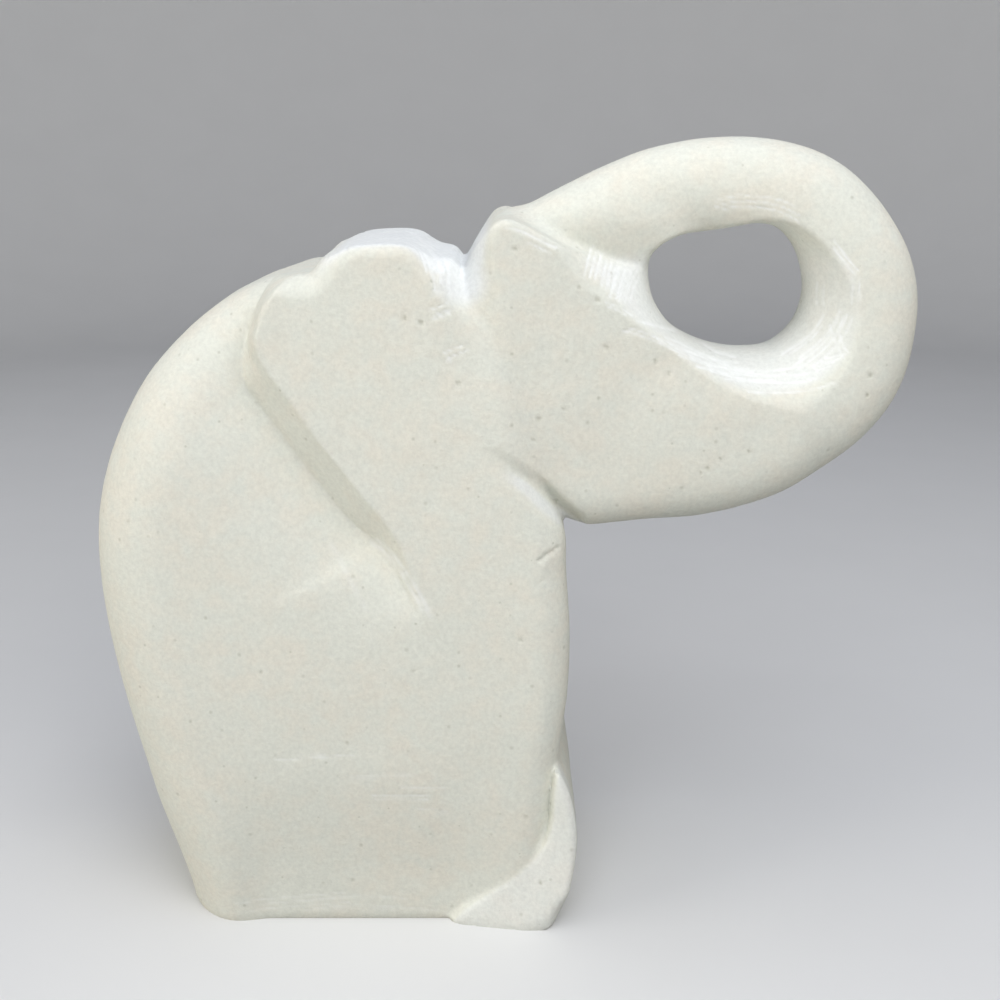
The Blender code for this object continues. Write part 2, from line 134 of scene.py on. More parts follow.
WEB_OUTLINE = [
    (3.0, 87.0), (10.0, 82.0), (18.0, 79.0), (23.0, 86.0), (21.0, 91.0), (13.0, 92.5), (6.0, 90.5),
]
RING_OPENING = [
    (18.5, 84.7), (19.0, 80.8), (21.3, 77.4), (24.6, 75.4), (28.0, 74.4), (31.2, 74.2),
    (34.4, 74.8), (37.0, 77.3), (38.1, 80.8), (37.8, 84.0), (36.6, 86.9), (34.4, 89.1),
    (31.5, 89.7), (28.3, 89.2), (25.0, 88.8), (22.0, 88.3), (19.6, 86.9),
]
FUNNEL_OUTLINE = [
    (9.0, 87.0), (11.1, 84.5), (13.0, 82.5), (15.2, 79.9), (17.6, 78.0), (20.2, 76.2), (23.6, 73.6),
    (28.3, 71.0), (33.0, 70.2), (37.1, 70.9), (40.2, 72.9), (42.2, 75.8), (43.0, 79.8), (42.4, 83.5),
    (40.0, 87.6), (36.6, 90.6), (32.0, 91.9), (27.0, 91.6), (22.5, 90.8), (19.0, 89.8), (15.0, 89.2),
    (11.5, 88.4),
]
FUNNEL_LIMB = (28.0, 42.0)
FUNNEL_CORNER = ((20.0, 13.0), (79.0, 84.0))
TRUNK_STATIONS = [
    (23.0, 64.5, 10.5, 10.0), (30.0, 65.4, 9.7, 9.8), (36.0, 67.5, 9.4, 9.4),
    (40.8, 71.1, 9.0, 9.0), (43.1, 76.3, 8.5, 8.5), (43.5, 81.9, 7.9, 7.9),
    (41.2, 87.2, 7.3, 7.3), (37.1, 91.3, 6.9, 6.7), (31.6, 93.5, 6.3, 6.2),
    (25.5, 93.8, 6.0, 5.8), (19.5, 92.9, 5.7, 5.5), (14.0, 91.3, 5.2, 5.2),
    (9.0, 89.7, 4.5, 4.9), (4.5, 88.1, 3.8, 4.5),
]
TRUNK_ROOT_POWER = 3.2
TRUNK_TIP_POWER = 2.2
TRUNK_ROUNDS = (0.1, 0.6)
EAR_EDGE = [
    (-20.6, 86.4), (-22.9, 85.3), (-25.0, 83.9), (-26.6, 81.8), (-27.9, 79.2), (-28.6, 76.6),
    (-27.3, 73.4), (-24.9, 70.1), (-21.2, 64.6), (-16.5, 58.4), (-12.4, 53.0), (-10.3, 47.0),
    (-8.6, 41.5),
]
EAR_CORNER = (-22.0, 84.6, 6.0, 2.0)
TOE = ((5.0, 8.0), (6.0, 2.5))
VALLEY = (-4.6, 84.8, 7.0, 2.0)
SCOOP_OPENS = (0.20, 0.46)
BEVEL_OPENS = (0.36, 0.52)
BEVEL_NARROWS = (0.74, 0.97)
SCOOP_FADES = (0.78, 1.00)
NECK_GROOVE = [
    (-3.7, 89.0), (-3.2, 86.0), (-2.6, 82.5), (-2.3, 79.0), (-1.5, 72.5), (0.0, 67.0),
]
GROOVE_FADES = (0.25, 1.00)
JAW_CREASE = [(-0.5, 63.3), (3.5, 60.3), (6.7, 57.0), (9.5, 54.5)]
CREASE_DEEPENS = (-0.20, 0.70)
FLANK_TAPER = (15.0, 95.0)
HEAD_TAPER = (-2.5, 37.5)
HOLLOW_HEIGHTS = (23.5, 3.5)
HOLLOW_REAR = (-37.0, -30.0)
HOLLOW_FRONT = (-7.0, 3.0)
LEG_EDGE_TOP = (72.5, 60.0)
LEG_EDGE_FRONT = (-15.0, 0.0)
BACK_EDGE_FRONT = (-15.0, -5.0)
RUMP_EDGE_TOP = (60.0, 40.0)
RUMP_EDGE_FRONT = (-30.0, -10.0)
LEDGE_LINE = (91.2, -0.52)
LEDGE_BAND = (-12.5, -3.0)
LEDGE_END = (6.0, 12.0)

NECK_BLEND = 0.0016
TRUNK_BLEND = 0.0060
WEB_BLEND = 0.0010
FOOT_BLEND = 0.0012
RIM_BLEND = 0.0008
CORNER_BLEND = 0.0045

# How finely the stone is meshed
MAP_PITCH = 0.0005          # samples of the side view
COARSE_CELL = 0.00172       # faces on the plain stretches
FINE_CUTS = 2               # how often a face is cut along each side where something is carved
FITTING_ROUNDS = 4
STEP_FOR_SLOPE = 0.0002
SHARP_ANGLE = math.radians(50)


def smooth_path(anchors, closed=False, steps=8):
    """Points on a Catmull-Rom curve through the anchors, whatever number of columns they have."""
    a = np.array(anchors, dtype=float)
    if closed:
        before, after = np.roll(a, 1, axis=0), np.roll(a, -1, axis=0)
        beyond = np.roll(a, -2, axis=0)
        start = a
    else:
        ends = np.vstack([2 * a[0] - a[1], a, 2 * a[-1] - a[-2]])
        before, start, after, beyond = ends[:-3], ends[1:-2], ends[2:-1], ends[3:]
    t = (np.arange(steps) / steps)[:, None, None]
    points = 0.5 * (2 * start + (after - before) * t
                    + (2 * before - 5 * start + 4 * after - beyond) * t ** 2
                    + (3 * start - before - 3 * after + beyond) * t ** 3)
    points = points.transpose(1, 0, 2).reshape(-1, a.shape[1])
    return points if closed else np.vstack([points, a[-1]])


def ramp(value, start, end):
    """0 at start, 1 at end, smooth between them; start may be the larger."""
    t = np.clip((value - start) / (end - start), 0, 1)
    return t * t * (3 - 2 * t)


def distance_to_path(X, Z, path, closed=False):
    """Distance from a path, positive on its left, and the share along it of the nearest point."""
    ends = np.roll(path, -1, axis=0)
    count = len(path) if closed else len(path) - 1
    nearest = np.full(X.shape, np.inf)
    share = np.zeros(X.shape)
    side = np.ones(X.shape)
    for i in range(count):
        (ax, az), (bx, bz) = path[i], ends[i]
        ux, uz = bx - ax, bz - az
        t = np.clip(((X - ax) * ux + (Z - az) * uz) / (ux * ux + uz * uz), 0, 1)
        gap = np.hypot(X - ax - t * ux, Z - az - t * uz)
        closer = gap < nearest
        nearest = np.where(closer, gap, nearest)
        share = np.where(closer, (i + t) / count, share)
        side = np.where(closer, np.where(ux * (Z - az) > uz * (X - ax), 1.0, -1.0), side)
    return nearest * side, share


def distance_to_outline(X, Z, anchors):
    """Distance from a closed outline in the side view, negative inside it."""
    path = smooth_path(np.array(anchors) * PERCENT, closed=True)
    distance, _ = distance_to_path(X, Z, path, closed=True)
    inside = np.zeros(X.shape, dtype=bool)
    for (ax, az), (bx, bz) in zip(path, np.roll(path, -1, axis=0)):
        if az != bz:
            spans = (az > Z) != (bz > Z)
            inside ^= spans & (X < ax + (Z - az) * (bx - ax) / (bz - az))
    return np.where(inside, -np.abs(distance), np.abs(distance))


def slab(outline, face, radius, power=2.0):
    """A plate inside its outline and under its side faces, with the edge between them rounded."""
    u = np.maximum(outline + radius, 0)
    v = np.maximum(face + radius, 0)
    inner = np.minimum(np.maximum(outline, face) + radius, 0)
    return inner + (u ** power + v ** power) ** (1 / power) - radius


def joined(a, b, reach):
    """Both forms as one, with a fillet of about this reach where they meet."""
    share = np.clip(0.5 + 0.5 * (b - a) / reach, 0, 1)
    return b + (a - b) * share - reach * share * (1 - share)


def cut_to(a, b, reach):
    """What both forms have in common, with the new edge eased by this reach."""
    return -joined(-a, -b, reach)


def flat_sided(distance, reach, middle):
    """The profile of a groove with flat sides: 0 beyond its reach, 1 in its middle."""
    return np.clip((distance - reach) / (middle - reach), 0, 1)


def groove_relief(X, Z, anchors, depth, reach, shape, profile):
    """A groove along a line, with its own reach on each side."""
    distance, share = distance_to_path(X, Z, smooth_path(np.array(anchors) * PERCENT))
    reach_here = np.where(distance > 0, reach[0], reach[1])
    return depth * shape(share) * profile(np.abs(distance), reach_here, 0)


def ear_relief(X, Z):
    """Depth of the scoop behind the ear's edge, and how far each place is past the edge."""
    distance, share = distance_to_path(X, Z, smooth_path(np.array(EAR_EDGE) * PERCENT, steps=12))
    behind = np.maximum(-distance, 0)
    bevel = (EAR_STEP_WIDTH + (EAR_BEVEL_WIDTH - EAR_STEP_WIDTH) * ramp(share, *BEVEL_OPENS)
             - (EAR_BEVEL_WIDTH - EAR_BEVEL_END) * ramp(share, *BEVEL_NARROWS))
    down = np.clip(behind / bevel, 0, 1)
    depth = SCOOP_DEPTH * ramp(share, *SCOOP_OPENS) * (1 - ramp(share, *SCOOP_FADES))
    away = np.clip(1 - np.maximum(behind - bevel, 0) / SCOOP_REACH, 0, 1)
    return depth * down * away ** 2, np.clip(behind / EAR_TURN_WIDTH, 0, 1)


class SideView:
    """Everything about the form that depends on the side view alone, sampled once over it."""

    NAMES = ("body", "body_face", "body_radius", "head", "head_face", "head_radius", "web", "ring",
             "funnel", "funnel_side", "funnel_power", "funnel_blend", "trunk", "trunk_height",
             "trunk_width", "trunk_power", "foot", "foot_face", "foot_radius")

    def __init__(self, x, z):
        self.x, self.z = x, z
        X, Z = np.meshgrid(x, z, indexing="ij")
        px, pz = X / PERCENT, Z / PERCENT
        creases = (groove_relief(X, Z, NECK_GROOVE, NECK_GROOVE_DEPTH, NECK_GROOVE_REACH,
                                 lambda share: 1 - ramp(share, *GROOVE_FADES), ramp)
                   + groove_relief(X, Z, JAW_CREASE, JAW_CREASE_DEPTH, JAW_CREASE_REACH,
                                   lambda share: ramp(share, *CREASE_DEEPENS), flat_sided))
        maps = {"foot": distance_to_outline(X, Z, FOOT_OUTLINE),
                "web": distance_to_outline(X, Z, WEB_OUTLINE),
                "ring": distance_to_outline(X, Z, RING_OPENING),
                "funnel": distance_to_outline(X, Z, FUNNEL_OUTLINE),
                "body": distance_to_outline(X, Z, BODY_OUTLINE),
                "head": distance_to_outline(X, Z, HEAD_OUTLINE)}

        scoop, past_ear = ear_relief(X, Z)
        hollow = (LEG_HOLLOW_DEPTH * ramp(pz, *HOLLOW_HEIGHTS)
                  * ramp(px, *HOLLOW_REAR) * (1 - ramp(px, *HOLLOW_FRONT)))
        half_width = BODY_WIDTH / 2 - (BODY_WIDTH - SHOULDER_WIDTH) / 2 * ramp(pz, *FLANK_TAPER)
        back = np.maximum(past_ear * (1 - ramp(px, *BACK_EDGE_FRONT)),
                          ramp(pz, *RUMP_EDGE_TOP) * (1 - ramp(px, *RUMP_EDGE_FRONT)))
        leg = ramp(pz, *LEG_EDGE_TOP) * ramp(px, *LEG_EDGE_FRONT)
        radius = (EAR_ROUNDING + (LEG_ROUNDING - EAR_ROUNDING) * leg
                  + (BACK_ROUNDING - EAR_ROUNDING) * back)
        valley = VALLEY_ROUNDING * ramp(np.hypot(px - VALLEY[0], pz - VALLEY[1]), *VALLEY[2:])
        maps["body_face"] = scoop + hollow + creases - half_width
        corner = EAR_CORNER_ROUNDING * ramp(np.hypot(px - EAR_CORNER[0], pz - EAR_CORNER[1]),
                                            *EAR_CORNER[2:])
        maps["body_radius"] = np.minimum(radius + valley + corner, half_width)
        from_edge, _ = distance_to_path(X, Z, smooth_path(np.array(FOOT_OUTLINE[:8]) * PERCENT))
        rise = np.clip(-from_edge / FOOT_SLOPE, 0, 1)
        maps["foot_face"] = -FOOT_START - (FOOT_WIDTH / 2 - FOOT_START) * rise
        toe = ramp(px, *TOE[0]) * ramp(pz, *TOE[1])
        maps["foot_radius"] = FOOT_ROUNDING + (TOE_ROUNDING - FOOT_ROUNDING) * toe

        head_half = NECK_WIDTH / 2 - (NECK_WIDTH - MUZZLE_WIDTH) / 2 * ramp(px, *HEAD_TAPER)
        above_ledge = pz - (LEDGE_LINE[0] + LEDGE_LINE[1] * px)
        ledge = ramp(above_ledge, *LEDGE_BAND) * (1 - ramp(px, *LEDGE_END))
        maps["head_face"] = creases - head_half
        maps["head_radius"] = JAW_ROUNDING - (JAW_ROUNDING - LEDGE_ROUNDING - valley) * ledge
        maps["funnel_side"] = head_half - FUNNEL_NARROWING * ramp(px, *FUNNEL_LIMB)
        corner = ramp(px, *FUNNEL_CORNER[0]) * ramp(pz, *FUNNEL_CORNER[1])
        maps["funnel_power"] = FUNNEL_POWER - (FUNNEL_POWER - FUNNEL_CORNER_POWER) * corner
        maps["funnel_blend"] = RIM_BLEND + (CORNER_BLEND - RIM_BLEND) * corner
        maps.update(self.trunk_maps(X, Z))
        self.maps = np.stack([maps[name] for name in self.NAMES])

    @staticmethod
    def trunk_maps(X, Z):
        """The trunk: how far out each place is as a share of the limb's own size, and that size."""
        nearest = np.full(X.shape, np.inf)
        height_here, width_here = np.ones(X.shape), np.ones(X.shape)
        along = np.zeros(X.shape)
        path = smooth_path(np.array(TRUNK_STATIONS) * PERCENT, steps=24)
        for i, (x, z, height, width) in enumerate(path):
            ratio = np.hypot(X - x, Z - z) / height
            closer = ratio < nearest
            nearest = np.where(closer, ratio, nearest)
            height_here = np.where(closer, height, height_here)
            width_here = np.where(closer, width, width_here)
            along = np.where(closer, i / (len(path) - 1), along)
        power = TRUNK_ROOT_POWER - (TRUNK_ROOT_POWER - TRUNK_TIP_POWER) * ramp(along, *TRUNK_ROUNDS)
        return {"trunk": nearest, "trunk_height": height_here, "trunk_width": width_here,
                "trunk_power": power}

    def at(self, x, z):
        """Every map read at these places, between its samples."""
        i = np.clip((x - self.x[0]) / MAP_PITCH, 0, len(self.x) - 1.001)
        k = np.clip((z - self.z[0]) / MAP_PITCH, 0, len(self.z) - 1.001)
        i0, k0 = i.astype(int), k.astype(int)
        u, w = i - i0, k - k0
        m = self.maps
        return ((m[:, i0, k0] * (1 - u) + m[:, i0 + 1, k0] * u) * (1 - w)
                + (m[:, i0, k0 + 1] * (1 - u) + m[:, i0 + 1, k0 + 1] * u) * w)


def stone_form(maps, side, z):
    """The whole carving as one field: negative inside. The maps, side and z broadcast together."""
    m = dict(zip(SideView.NAMES, maps))
    head = slab(m["head"], m["head_face"] + side, m["head_radius"], TRUNK_TIP_POWER)
    head = joined(head, slab(m["web"], side - WEB_WIDTH / 2, WEB_ROUNDING), WEB_BLEND)
    power = m["trunk_power"]
    section = (m["trunk"] ** power + (side / m["trunk_width"]) ** power) ** (1 / power)
    trunk = (section - 1) * np.minimum(m["trunk_height"], m["trunk_width"])
    front = joined(head, trunk, TRUNK_BLEND)
    outward = (side / m["funnel_side"]) ** m["funnel_power"]
    opening = m["ring"] + (m["funnel"] - m["ring"]) * outward
    front = cut_to(front, -opening, m["funnel_blend"])
    body = slab(m["body"], m["body_face"] + side, m["body_radius"])
    stone = joined(body, front, NECK_BLEND)
    stone = joined(stone, slab(m["foot"], m["foot_face"] + side, m["foot_radius"]), FOOT_BLEND)
    return stone + np.clip(BASE_ROUNDING - z, 0, BASE_ROUNDING) ** 2 / (2 * BASE_ROUNDING)


def mesh_surface(form, axes, cell):
    """Vertices and quads of the zero surface: one vertex in each cell that it passes through."""
    solid = form < 0
    cells = tuple(n - 1 for n in form.shape)
    total = np.zeros(cells + (3,))
    count = np.zeros(cells)
    for axis in range(3):
        u, v = [other for other in range(3) if other != axis]
        low = np.take(form, range(cells[axis]), axis)
        high = np.take(form, range(1, cells[axis] + 1), axis)
        crossing = (low < 0) != (high < 0)
        share = np.where(crossing, low / np.where(crossing, low - high, 1), 0)
        where = [np.broadcast_to(axes[k][:low.shape[k]].reshape([-1 if k == i else 1 for i in range(3)]),
                                 low.shape) for k in range(3)]
        where[axis] = where[axis] + share * cell
        for i in (0, 1):
            for j in (0, 1):
                corner = [slice(None)] * 3
                corner[u] = slice(i, low.shape[u] - 1 + i)
                corner[v] = slice(j, low.shape[v] - 1 + j)
                corner = tuple(corner)
                count += crossing[corner]
                for k in range(3):
                    total[..., k] += np.where(crossing[corner], where[k][corner], 0)
    index = np.cumsum(count > 0).reshape(cells) - 1
    vertices = total[count > 0] / count[count > 0][:, None]
    quads = []
    for axis in range(3):
        u, v = (axis + 1) % 3, (axis + 2) % 3
        low = np.take(solid, range(cells[axis]), axis)
        crossing = np.argwhere(low != np.take(solid, range(1, cells[axis] + 1), axis))
        crossing = crossing[(crossing[:, [u, v]] > 0).all(1)]       # the lowest layer stays open
        ring = []
        for i, j in ((0, 0), (1, 0), (1, 1), (0, 1)):
            cell_at = crossing.copy()
            cell_at[:, u] -= i
            cell_at[:, v] -= j
            ring.append(index[tuple(cell_at.T)])
        ring = np.stack(ring, axis=1)
        outward = low[tuple(crossing.T)][:, None]
        quads.append(np.where(outward, ring, ring[:, ::-1]))
    return vertices, np.vstack(quads)


# The sides that marks are made from
NEAR, FAR, ABOVE = (0.0, -1.0, 0.0), (0.0, 1.0, 0.0), (0.0, 0.0, 1.0)

# The carver's marks in percent of the height. Each line guides a few strokes beside each other:
# its points, strokes, distance between them, stroke width, depth (mm) and side.
STROKES = [
    # steep strokes on the left of the funnel
    ([(11.8, 86.8), (11.0, 85.5), (10.5, 84.1)], 3, 1.3, 1.1, 0.22, NEAR),
    ([(13.4, 86.2), (12.6, 84.6), (12.0, 82.1)], 3, 1.5, 1.0, 0.18, NEAR),
    ([(15.3, 85.4), (14.2, 83.3), (13.3, 81.2)], 3, 1.4, 0.9, 0.18, NEAR),
    ([(16.8, 84.7), (15.5, 82.9), (14.6, 80.9)], 3, 1.4, 0.9, 0.16, NEAR),
    # long strokes that sweep under the opening
    ([(11.6, 81.3), (13.7, 80.6), (15.6, 79.4)], 2, 1.6, 0.8, 0.16, NEAR),
    ([(13.0, 79.2), (16.4, 78.3), (19.4, 77.1), (24.3, 74.7), (26.9, 73.4), (31.4, 72.6)],
     3, 1.5, 0.9, 0.22, NEAR),
    ([(17.4, 77.9), (21.5, 75.8), (26.0, 73.6), (30.3, 72.8)], 2, 1.3, 0.8, 0.18, NEAR),
    ([(19.8, 75.7), (23.9, 73.9), (28.4, 72.4), (32.8, 71.9), (37.4, 72.6)], 3, 1.3, 0.9, 0.22, NEAR),
    ([(26.9, 71.9), (31.4, 71.3), (36.3, 71.3), (40.4, 72.4)], 3, 1.3, 0.8, 0.18, NEAR),
    # strokes round its lower right
    ([(34.2, 72.6), (38.0, 75.3), (39.8, 77.8), (40.4, 80.0)], 4, 1.2, 0.9, 0.22, NEAR),
    ([(36.0, 72.6), (38.9, 75.0), (40.8, 77.5), (41.6, 80.0)], 3, 1.4, 0.9, 0.18, NEAR),
    ([(40.3, 78.1), (41.0, 75.8), (41.6, 74.6)], 2, 1.6, 0.9, 0.20, NEAR),
    ([(38.9, 73.7), (40.5, 74.2), (42.0, 74.8)], 2, 1.7, 0.9, 0.18, NEAR),
    ([(37.6, 72.5), (40.6, 73.7)], 2, 1.4, 0.7, 0.14, NEAR),
    # the bright scratch on its upper right and the lines below it
    ([(39.3, 88.2), (41.2, 85.9), (42.4, 84.6)], 2, 1.0, 1.1, 0.26, NEAR),
    ([(42.2, 84.2), (42.4, 80.6)], 2, 1.0, 0.7, 0.14, NEAR),
    ([(38.8, 83.3), (39.0, 79.6)], 2, 1.2, 0.7, 0.14, NEAR),
    # the double line along the limb's inner edge
    ([(24.9, 91.8), (28.2, 92.7), (32.8, 92.2), (36.3, 90.5)], 3, 1.1, 0.8, 0.16, NEAR),
    # the double line under the trunk's tip, its dust-white partly a painted highlight along the head's ledge
    ([(-0.3, 90.1), (1.9, 89.7), (3.5, 89.0), (5.3, 88.1), (7.9, 87.1)], 1, 1.0, 1.1, 0.28, NEAR),
    ([(2.2, 88.6), (3.9, 88.0), (6.3, 86.7)], 1, 1.0, 0.9, 0.20, NEAR),
    # white streaks along the foot of the ear's bevel, their white partly a painted highlight of the lit bevel
    ([(-17.9, 52.6), (-15.0, 51.6), (-12.9, 49.8), (-10.7, 46.8), (-8.5, 42.4)], 2, 1.7, 2.4, 0.13, NEAR),
    ([(-21.2, 52.3), (-18.9, 48.4), (-16.4, 43.7)], 1, 1.0, 2.4, 0.05, NEAR),
    # short scratches on the ear
    ([(-8.4, 80.0), (-5.8, 80.9)], 3, 1.1, 0.9, 0.24, NEAR),
    ([(-6.7, 75.3), (-3.9, 76.4)], 2, 1.0, 0.9, 0.24, NEAR),
    # level scratches over the hollow between the legs
    ([(-31.1, 23.7), (-24.6, 24.1), (-18.2, 24.6), (-15.5, 24.6)], 1, 1.0, 0.9, 0.12, NEAR),
    ([(-19.5, 22.1), (-9.8, 22.0)], 2, 0.9, 0.8, 0.07, NEAR),
    ([(-13.1, 20.2), (-6.9, 20.0)], 2, 0.9, 0.8, 0.08, NEAR),
    ([(-17.7, 18.4), (-12.5, 18.5), (-8.5, 18.3), (-6.6, 18.0)], 2, 1.0, 0.8, 0.12, NEAR),
    ([(-11.2, 16.9), (-6.2, 16.7)], 1, 1.0, 0.8, 0.12, NEAR),
    # faint streaks above the underside
    ([(-35.4, 2.1), (-29.7, 2.6), (-18.9, 3.5)], 3, 1.4, 0.9, 0.09, NEAR),
    ([(-26.6, 2.1), (-18.7, 2.9), (-8.1, 2.1)], 2, 1.6, 0.9, 0.08, NEAR),
    # the far side, plainer
    ([(13.2, 85.8), (14.2, 82.0), (16.0, 79.0)], 5, 1.8, 0.9, 0.13, FAR),
    ([(19.0, 76.5), (24.0, 73.6), (31.0, 71.8), (37.0, 73.4)], 4, 1.5, 0.8, 0.13, FAR),
    ([(37.8, 75.6), (40.2, 79.0), (41.2, 83.0), (39.6, 87.4)], 3, 1.4, 0.8, 0.12, FAR),
    ([(-26.0, 21.0), (-16.0, 21.4), (-8.0, 20.4)], 3, 1.8, 0.9, 0.11, FAR),
    # across the ear's top, in X and Y
    ([(-18.0, -4.4), (-15.0, 3.4), (-11.0, 6.2)], 3, 1.6, 1.2, 0.30, ABOVE),
    ([(-17.4, -12.7), (-14.5, -5.6), (-11.4, -3.2), (-8.0, -4.6)], 3, 1.6, 1.2, 0.30, ABOVE),
    ([(-15.3, -12.4), (-12.5, -7.6), (-10.6, -7.9), (-7.6, -12.3)], 2, 1.7, 1.2, 0.28, ABOVE),
    ([(-12.0, 6.1), (-10.0, 2.2), (-7.6, -6.4), (-6.4, -13.1)], 3, 1.8, 1.2, 0.28, ABOVE),
    ([(-17.0, 11.0), (-12.5, 8.0), (-7.5, 10.5)], 3, 1.7, 1.1, 0.22, ABOVE),
]

# Dark creases on the chest, given in the same way
CREASES = [
    ([(4.2, 50.2), (5.5, 51.1), (7.0, 51.7)], 1, 1.0, 1.7, 0.80, NEAR),
    ([(4.4, 47.3), (5.5, 48.1)], 1, 1.0, 1.2, 0.30, NEAR),
]
DUSTY_DEPTH = 0.20          # strokes this deep or deeper are full of dust
STROKE_WANDER = 0.45        # how far a stroke strays, as a share of the distance between strokes

ABOVE_EARS = 0.165          # marks made from above stay higher than this

# Pits left where grains fell out: X, Z in percent of the height, radius in mm, side
PITS = [
    (4.4, 67.5, 1.0, NEAR), (3.8, 65.0, 0.7, NEAR), (11.3, 81.7, 1.1, NEAR), (12.4, 76.1, 0.9, NEAR),
    (18.4, 74.4, 0.9, NEAR), (20.0, 72.9, 0.8, NEAR), (7.5, 68.8, 0.7, NEAR), (44.7, 72.3, 0.9, NEAR),
    (44.5, 69.8, 0.7, NEAR), (30.1, 63.3, 0.8, NEAR), (26.6, 62.4, 0.7, NEAR), (25.1, 61.2, 0.9, NEAR),
    (-11.3, 79.8, 0.9, NEAR), (-5.1, 72.1, 0.9, NEAR), (-11.1, 36.1, 0.7, NEAR), (3.2, 15.9, 0.9, NEAR),
    (5.1, 6.6, 0.9, NEAR), (2.4, 40.2, 0.7, NEAR), (-9.4, 79.3, 0.9, NEAR), (1.6, 87.6, 0.8, NEAR),
    (24.3, 60.6, 0.7, NEAR), (-8.0, 84.0, 0.8, NEAR),
    (-14.0, 70.0, 0.9, FAR), (-30.0, 48.0, 0.8, FAR), (8.0, 66.0, 1.0, FAR), (22.0, 63.0, 0.8, FAR),
    (-3.0, 28.0, 0.8, FAR), (-22.0, 16.0, 0.7, FAR), (44.0, 74.0, 0.8, FAR), (3.0, 82.0, 0.8, FAR),
]
PIT_DEPTH_SHARE = 0.42      # of its radius


def near_a_path(x, z, anchors, reach_left, reach_right):
    """True where a place lies this close to a path on its left or right."""
    distance, _ = distance_to_path(x, z, smooth_path(np.array(anchors) * PERCENT, steps=4))
    return (distance < reach_left) & (distance > -reach_right)


def carved_places(points, view):
    """True where the stone is carved finely enough to need small faces."""
    x, z = points[:, 0], points[:, 2]
    maps = dict(zip(SideView.NAMES, view.at(x, z)))
    px, pz = x / PERCENT, z / PERCENT
    faces_side = np.abs(points[:, 1]) > 0.009
    wanted = (np.abs(maps["funnel"]) < 0.0025) & faces_side
    wanted |= (maps["ring"] < 0.0030) & faces_side
    wanted |= near_a_path(x, z, EAR_EDGE, 0.0012, 0.0090) & (pz < 86.5)
    wanted |= near_a_path(x, z, JAW_CREASE, 0.0045, 0.0050)
    wanted |= (maps["body"] > -0.0055) & (px > -25) & (px < -1) & (pz > 80) & faces_side
    above_ledge = pz - (LEDGE_LINE[0] + LEDGE_LINE[1] * px)
    wanted |= (above_ledge > -4.5) & (above_ledge < 1.5) & (px > -4) & (px < 11) & faces_side
    wanted |= (np.abs(maps["foot"]) < 0.0022) & (np.abs(points[:, 1]) > 0.024)
    for anchors, count, gap, width, _, on_side in STROKES + CREASES:
        reach = ((count - 1) / 2 * (1 + STROKE_WANDER) * gap + width) * MM
        wanted |= near_a_path(x, z, anchors, reach, reach) & (points[:, 1] * on_side[1] > 0)
    for pit_x, pit_z, radius, on_side in PITS:
        gap = np.hypot(px - pit_x, pz - pit_z) * PERCENT
        wanted |= (gap < radius * MM + COARSE_CELL / 2) & (points[:, 1] * on_side[1] > 0) & faces_side
    return wanted


def fitted(points, view):
    """The points moved along the slope of the form until they lie on its surface."""
    def form(p):
        return stone_form(view.at(p[:, 0], p[:, 2]), np.abs(p[:, 1]), p[:, 2])

    points = points.copy()
    for _ in range(FITTING_ROUNDS):
        slope = np.stack([form(points + step) - form(points - step)
                          for step in np.eye(3) * STEP_FOR_SLOPE], axis=1) / (2 * STEP_FOR_SLOPE)
        steepness = np.maximum((slope ** 2).sum(1), 0.25)
        move = slope * (form(points) / steepness)[:, None]
        length = np.linalg.norm(move, axis=1, keepdims=True)
        points -= move * np.minimum(1, COARSE_CELL / 3 / np.maximum(length, 1e-9))
    return points


def vertex_places(mesh):
    places = np.empty(len(mesh.vertices) * 3)
    mesh.vertices.foreach_get("co", places)
    return places.reshape(-1, 3)


def refine(mesh, view):
    """Cut the faces where the stone is carved into smaller ones and fit them to the form."""
    places = vertex_places(mesh)
    corners = np.empty(len(mesh.polygons) * 4, dtype=int)
    mesh.polygons.foreach_get("vertices", corners)
    wanted = carved_places(places[corners.reshape(-1, 4)].mean(1), view)
    bm = bmesh.new()
    bm.from_mesh(mesh)
    bm.faces.ensure_lookup_table()
    edges = {edge for i in np.flatnonzero(wanted) for edge in bm.faces[i].edges}
    bmesh.ops.subdivide_edges(bm, edges=list(edges), cuts=FINE_CUTS, use_grid_fill=True)
    many_sided = [face for face in bm.faces if len(face.verts) > 4]
    bmesh.ops.triangulate(bm, faces=many_sided)
    bm.to_mesh(mesh)
    bm.free()
    mesh.vertices.foreach_set("co", fitted(vertex_places(mesh), view).ravel())


def level_underside(mesh):
    """Cut the stone off flat at Z = 0, close the cut and centre its length on the part's."""
    bm = bmesh.new()
    bm.from_mesh(mesh)
    everything = bm.verts[:] + bm.edges[:] + bm.faces[:]
    bmesh.ops.bisect_plane(bm, geom=everything, dist=COARSE_CELL / 100, plane_co=(0, 0, 0),
                           plane_no=(0, 0, 1), clear_inner=True)
    rim = [edge for edge in bm.edges if edge.is_boundary]
    bmesh.ops.contextual_create(bm, geom=rim)
    bmesh.ops.triangulate(bm, faces=[face for face in bm.faces if len(face.verts) > 4])
    bmesh.ops.recalc_face_normals(bm, faces=bm.faces[:])
    ends = [vertex.co.x for vertex in bm.verts]
    shift = (CAD_LOW.x + CAD_HIGH.x - min(ends) - max(ends)) / 2
    bmesh.ops.translate(bm, vec=(shift, 0, 0), verts=bm.verts[:])
    bm.to_mesh(mesh)
    bm.free()


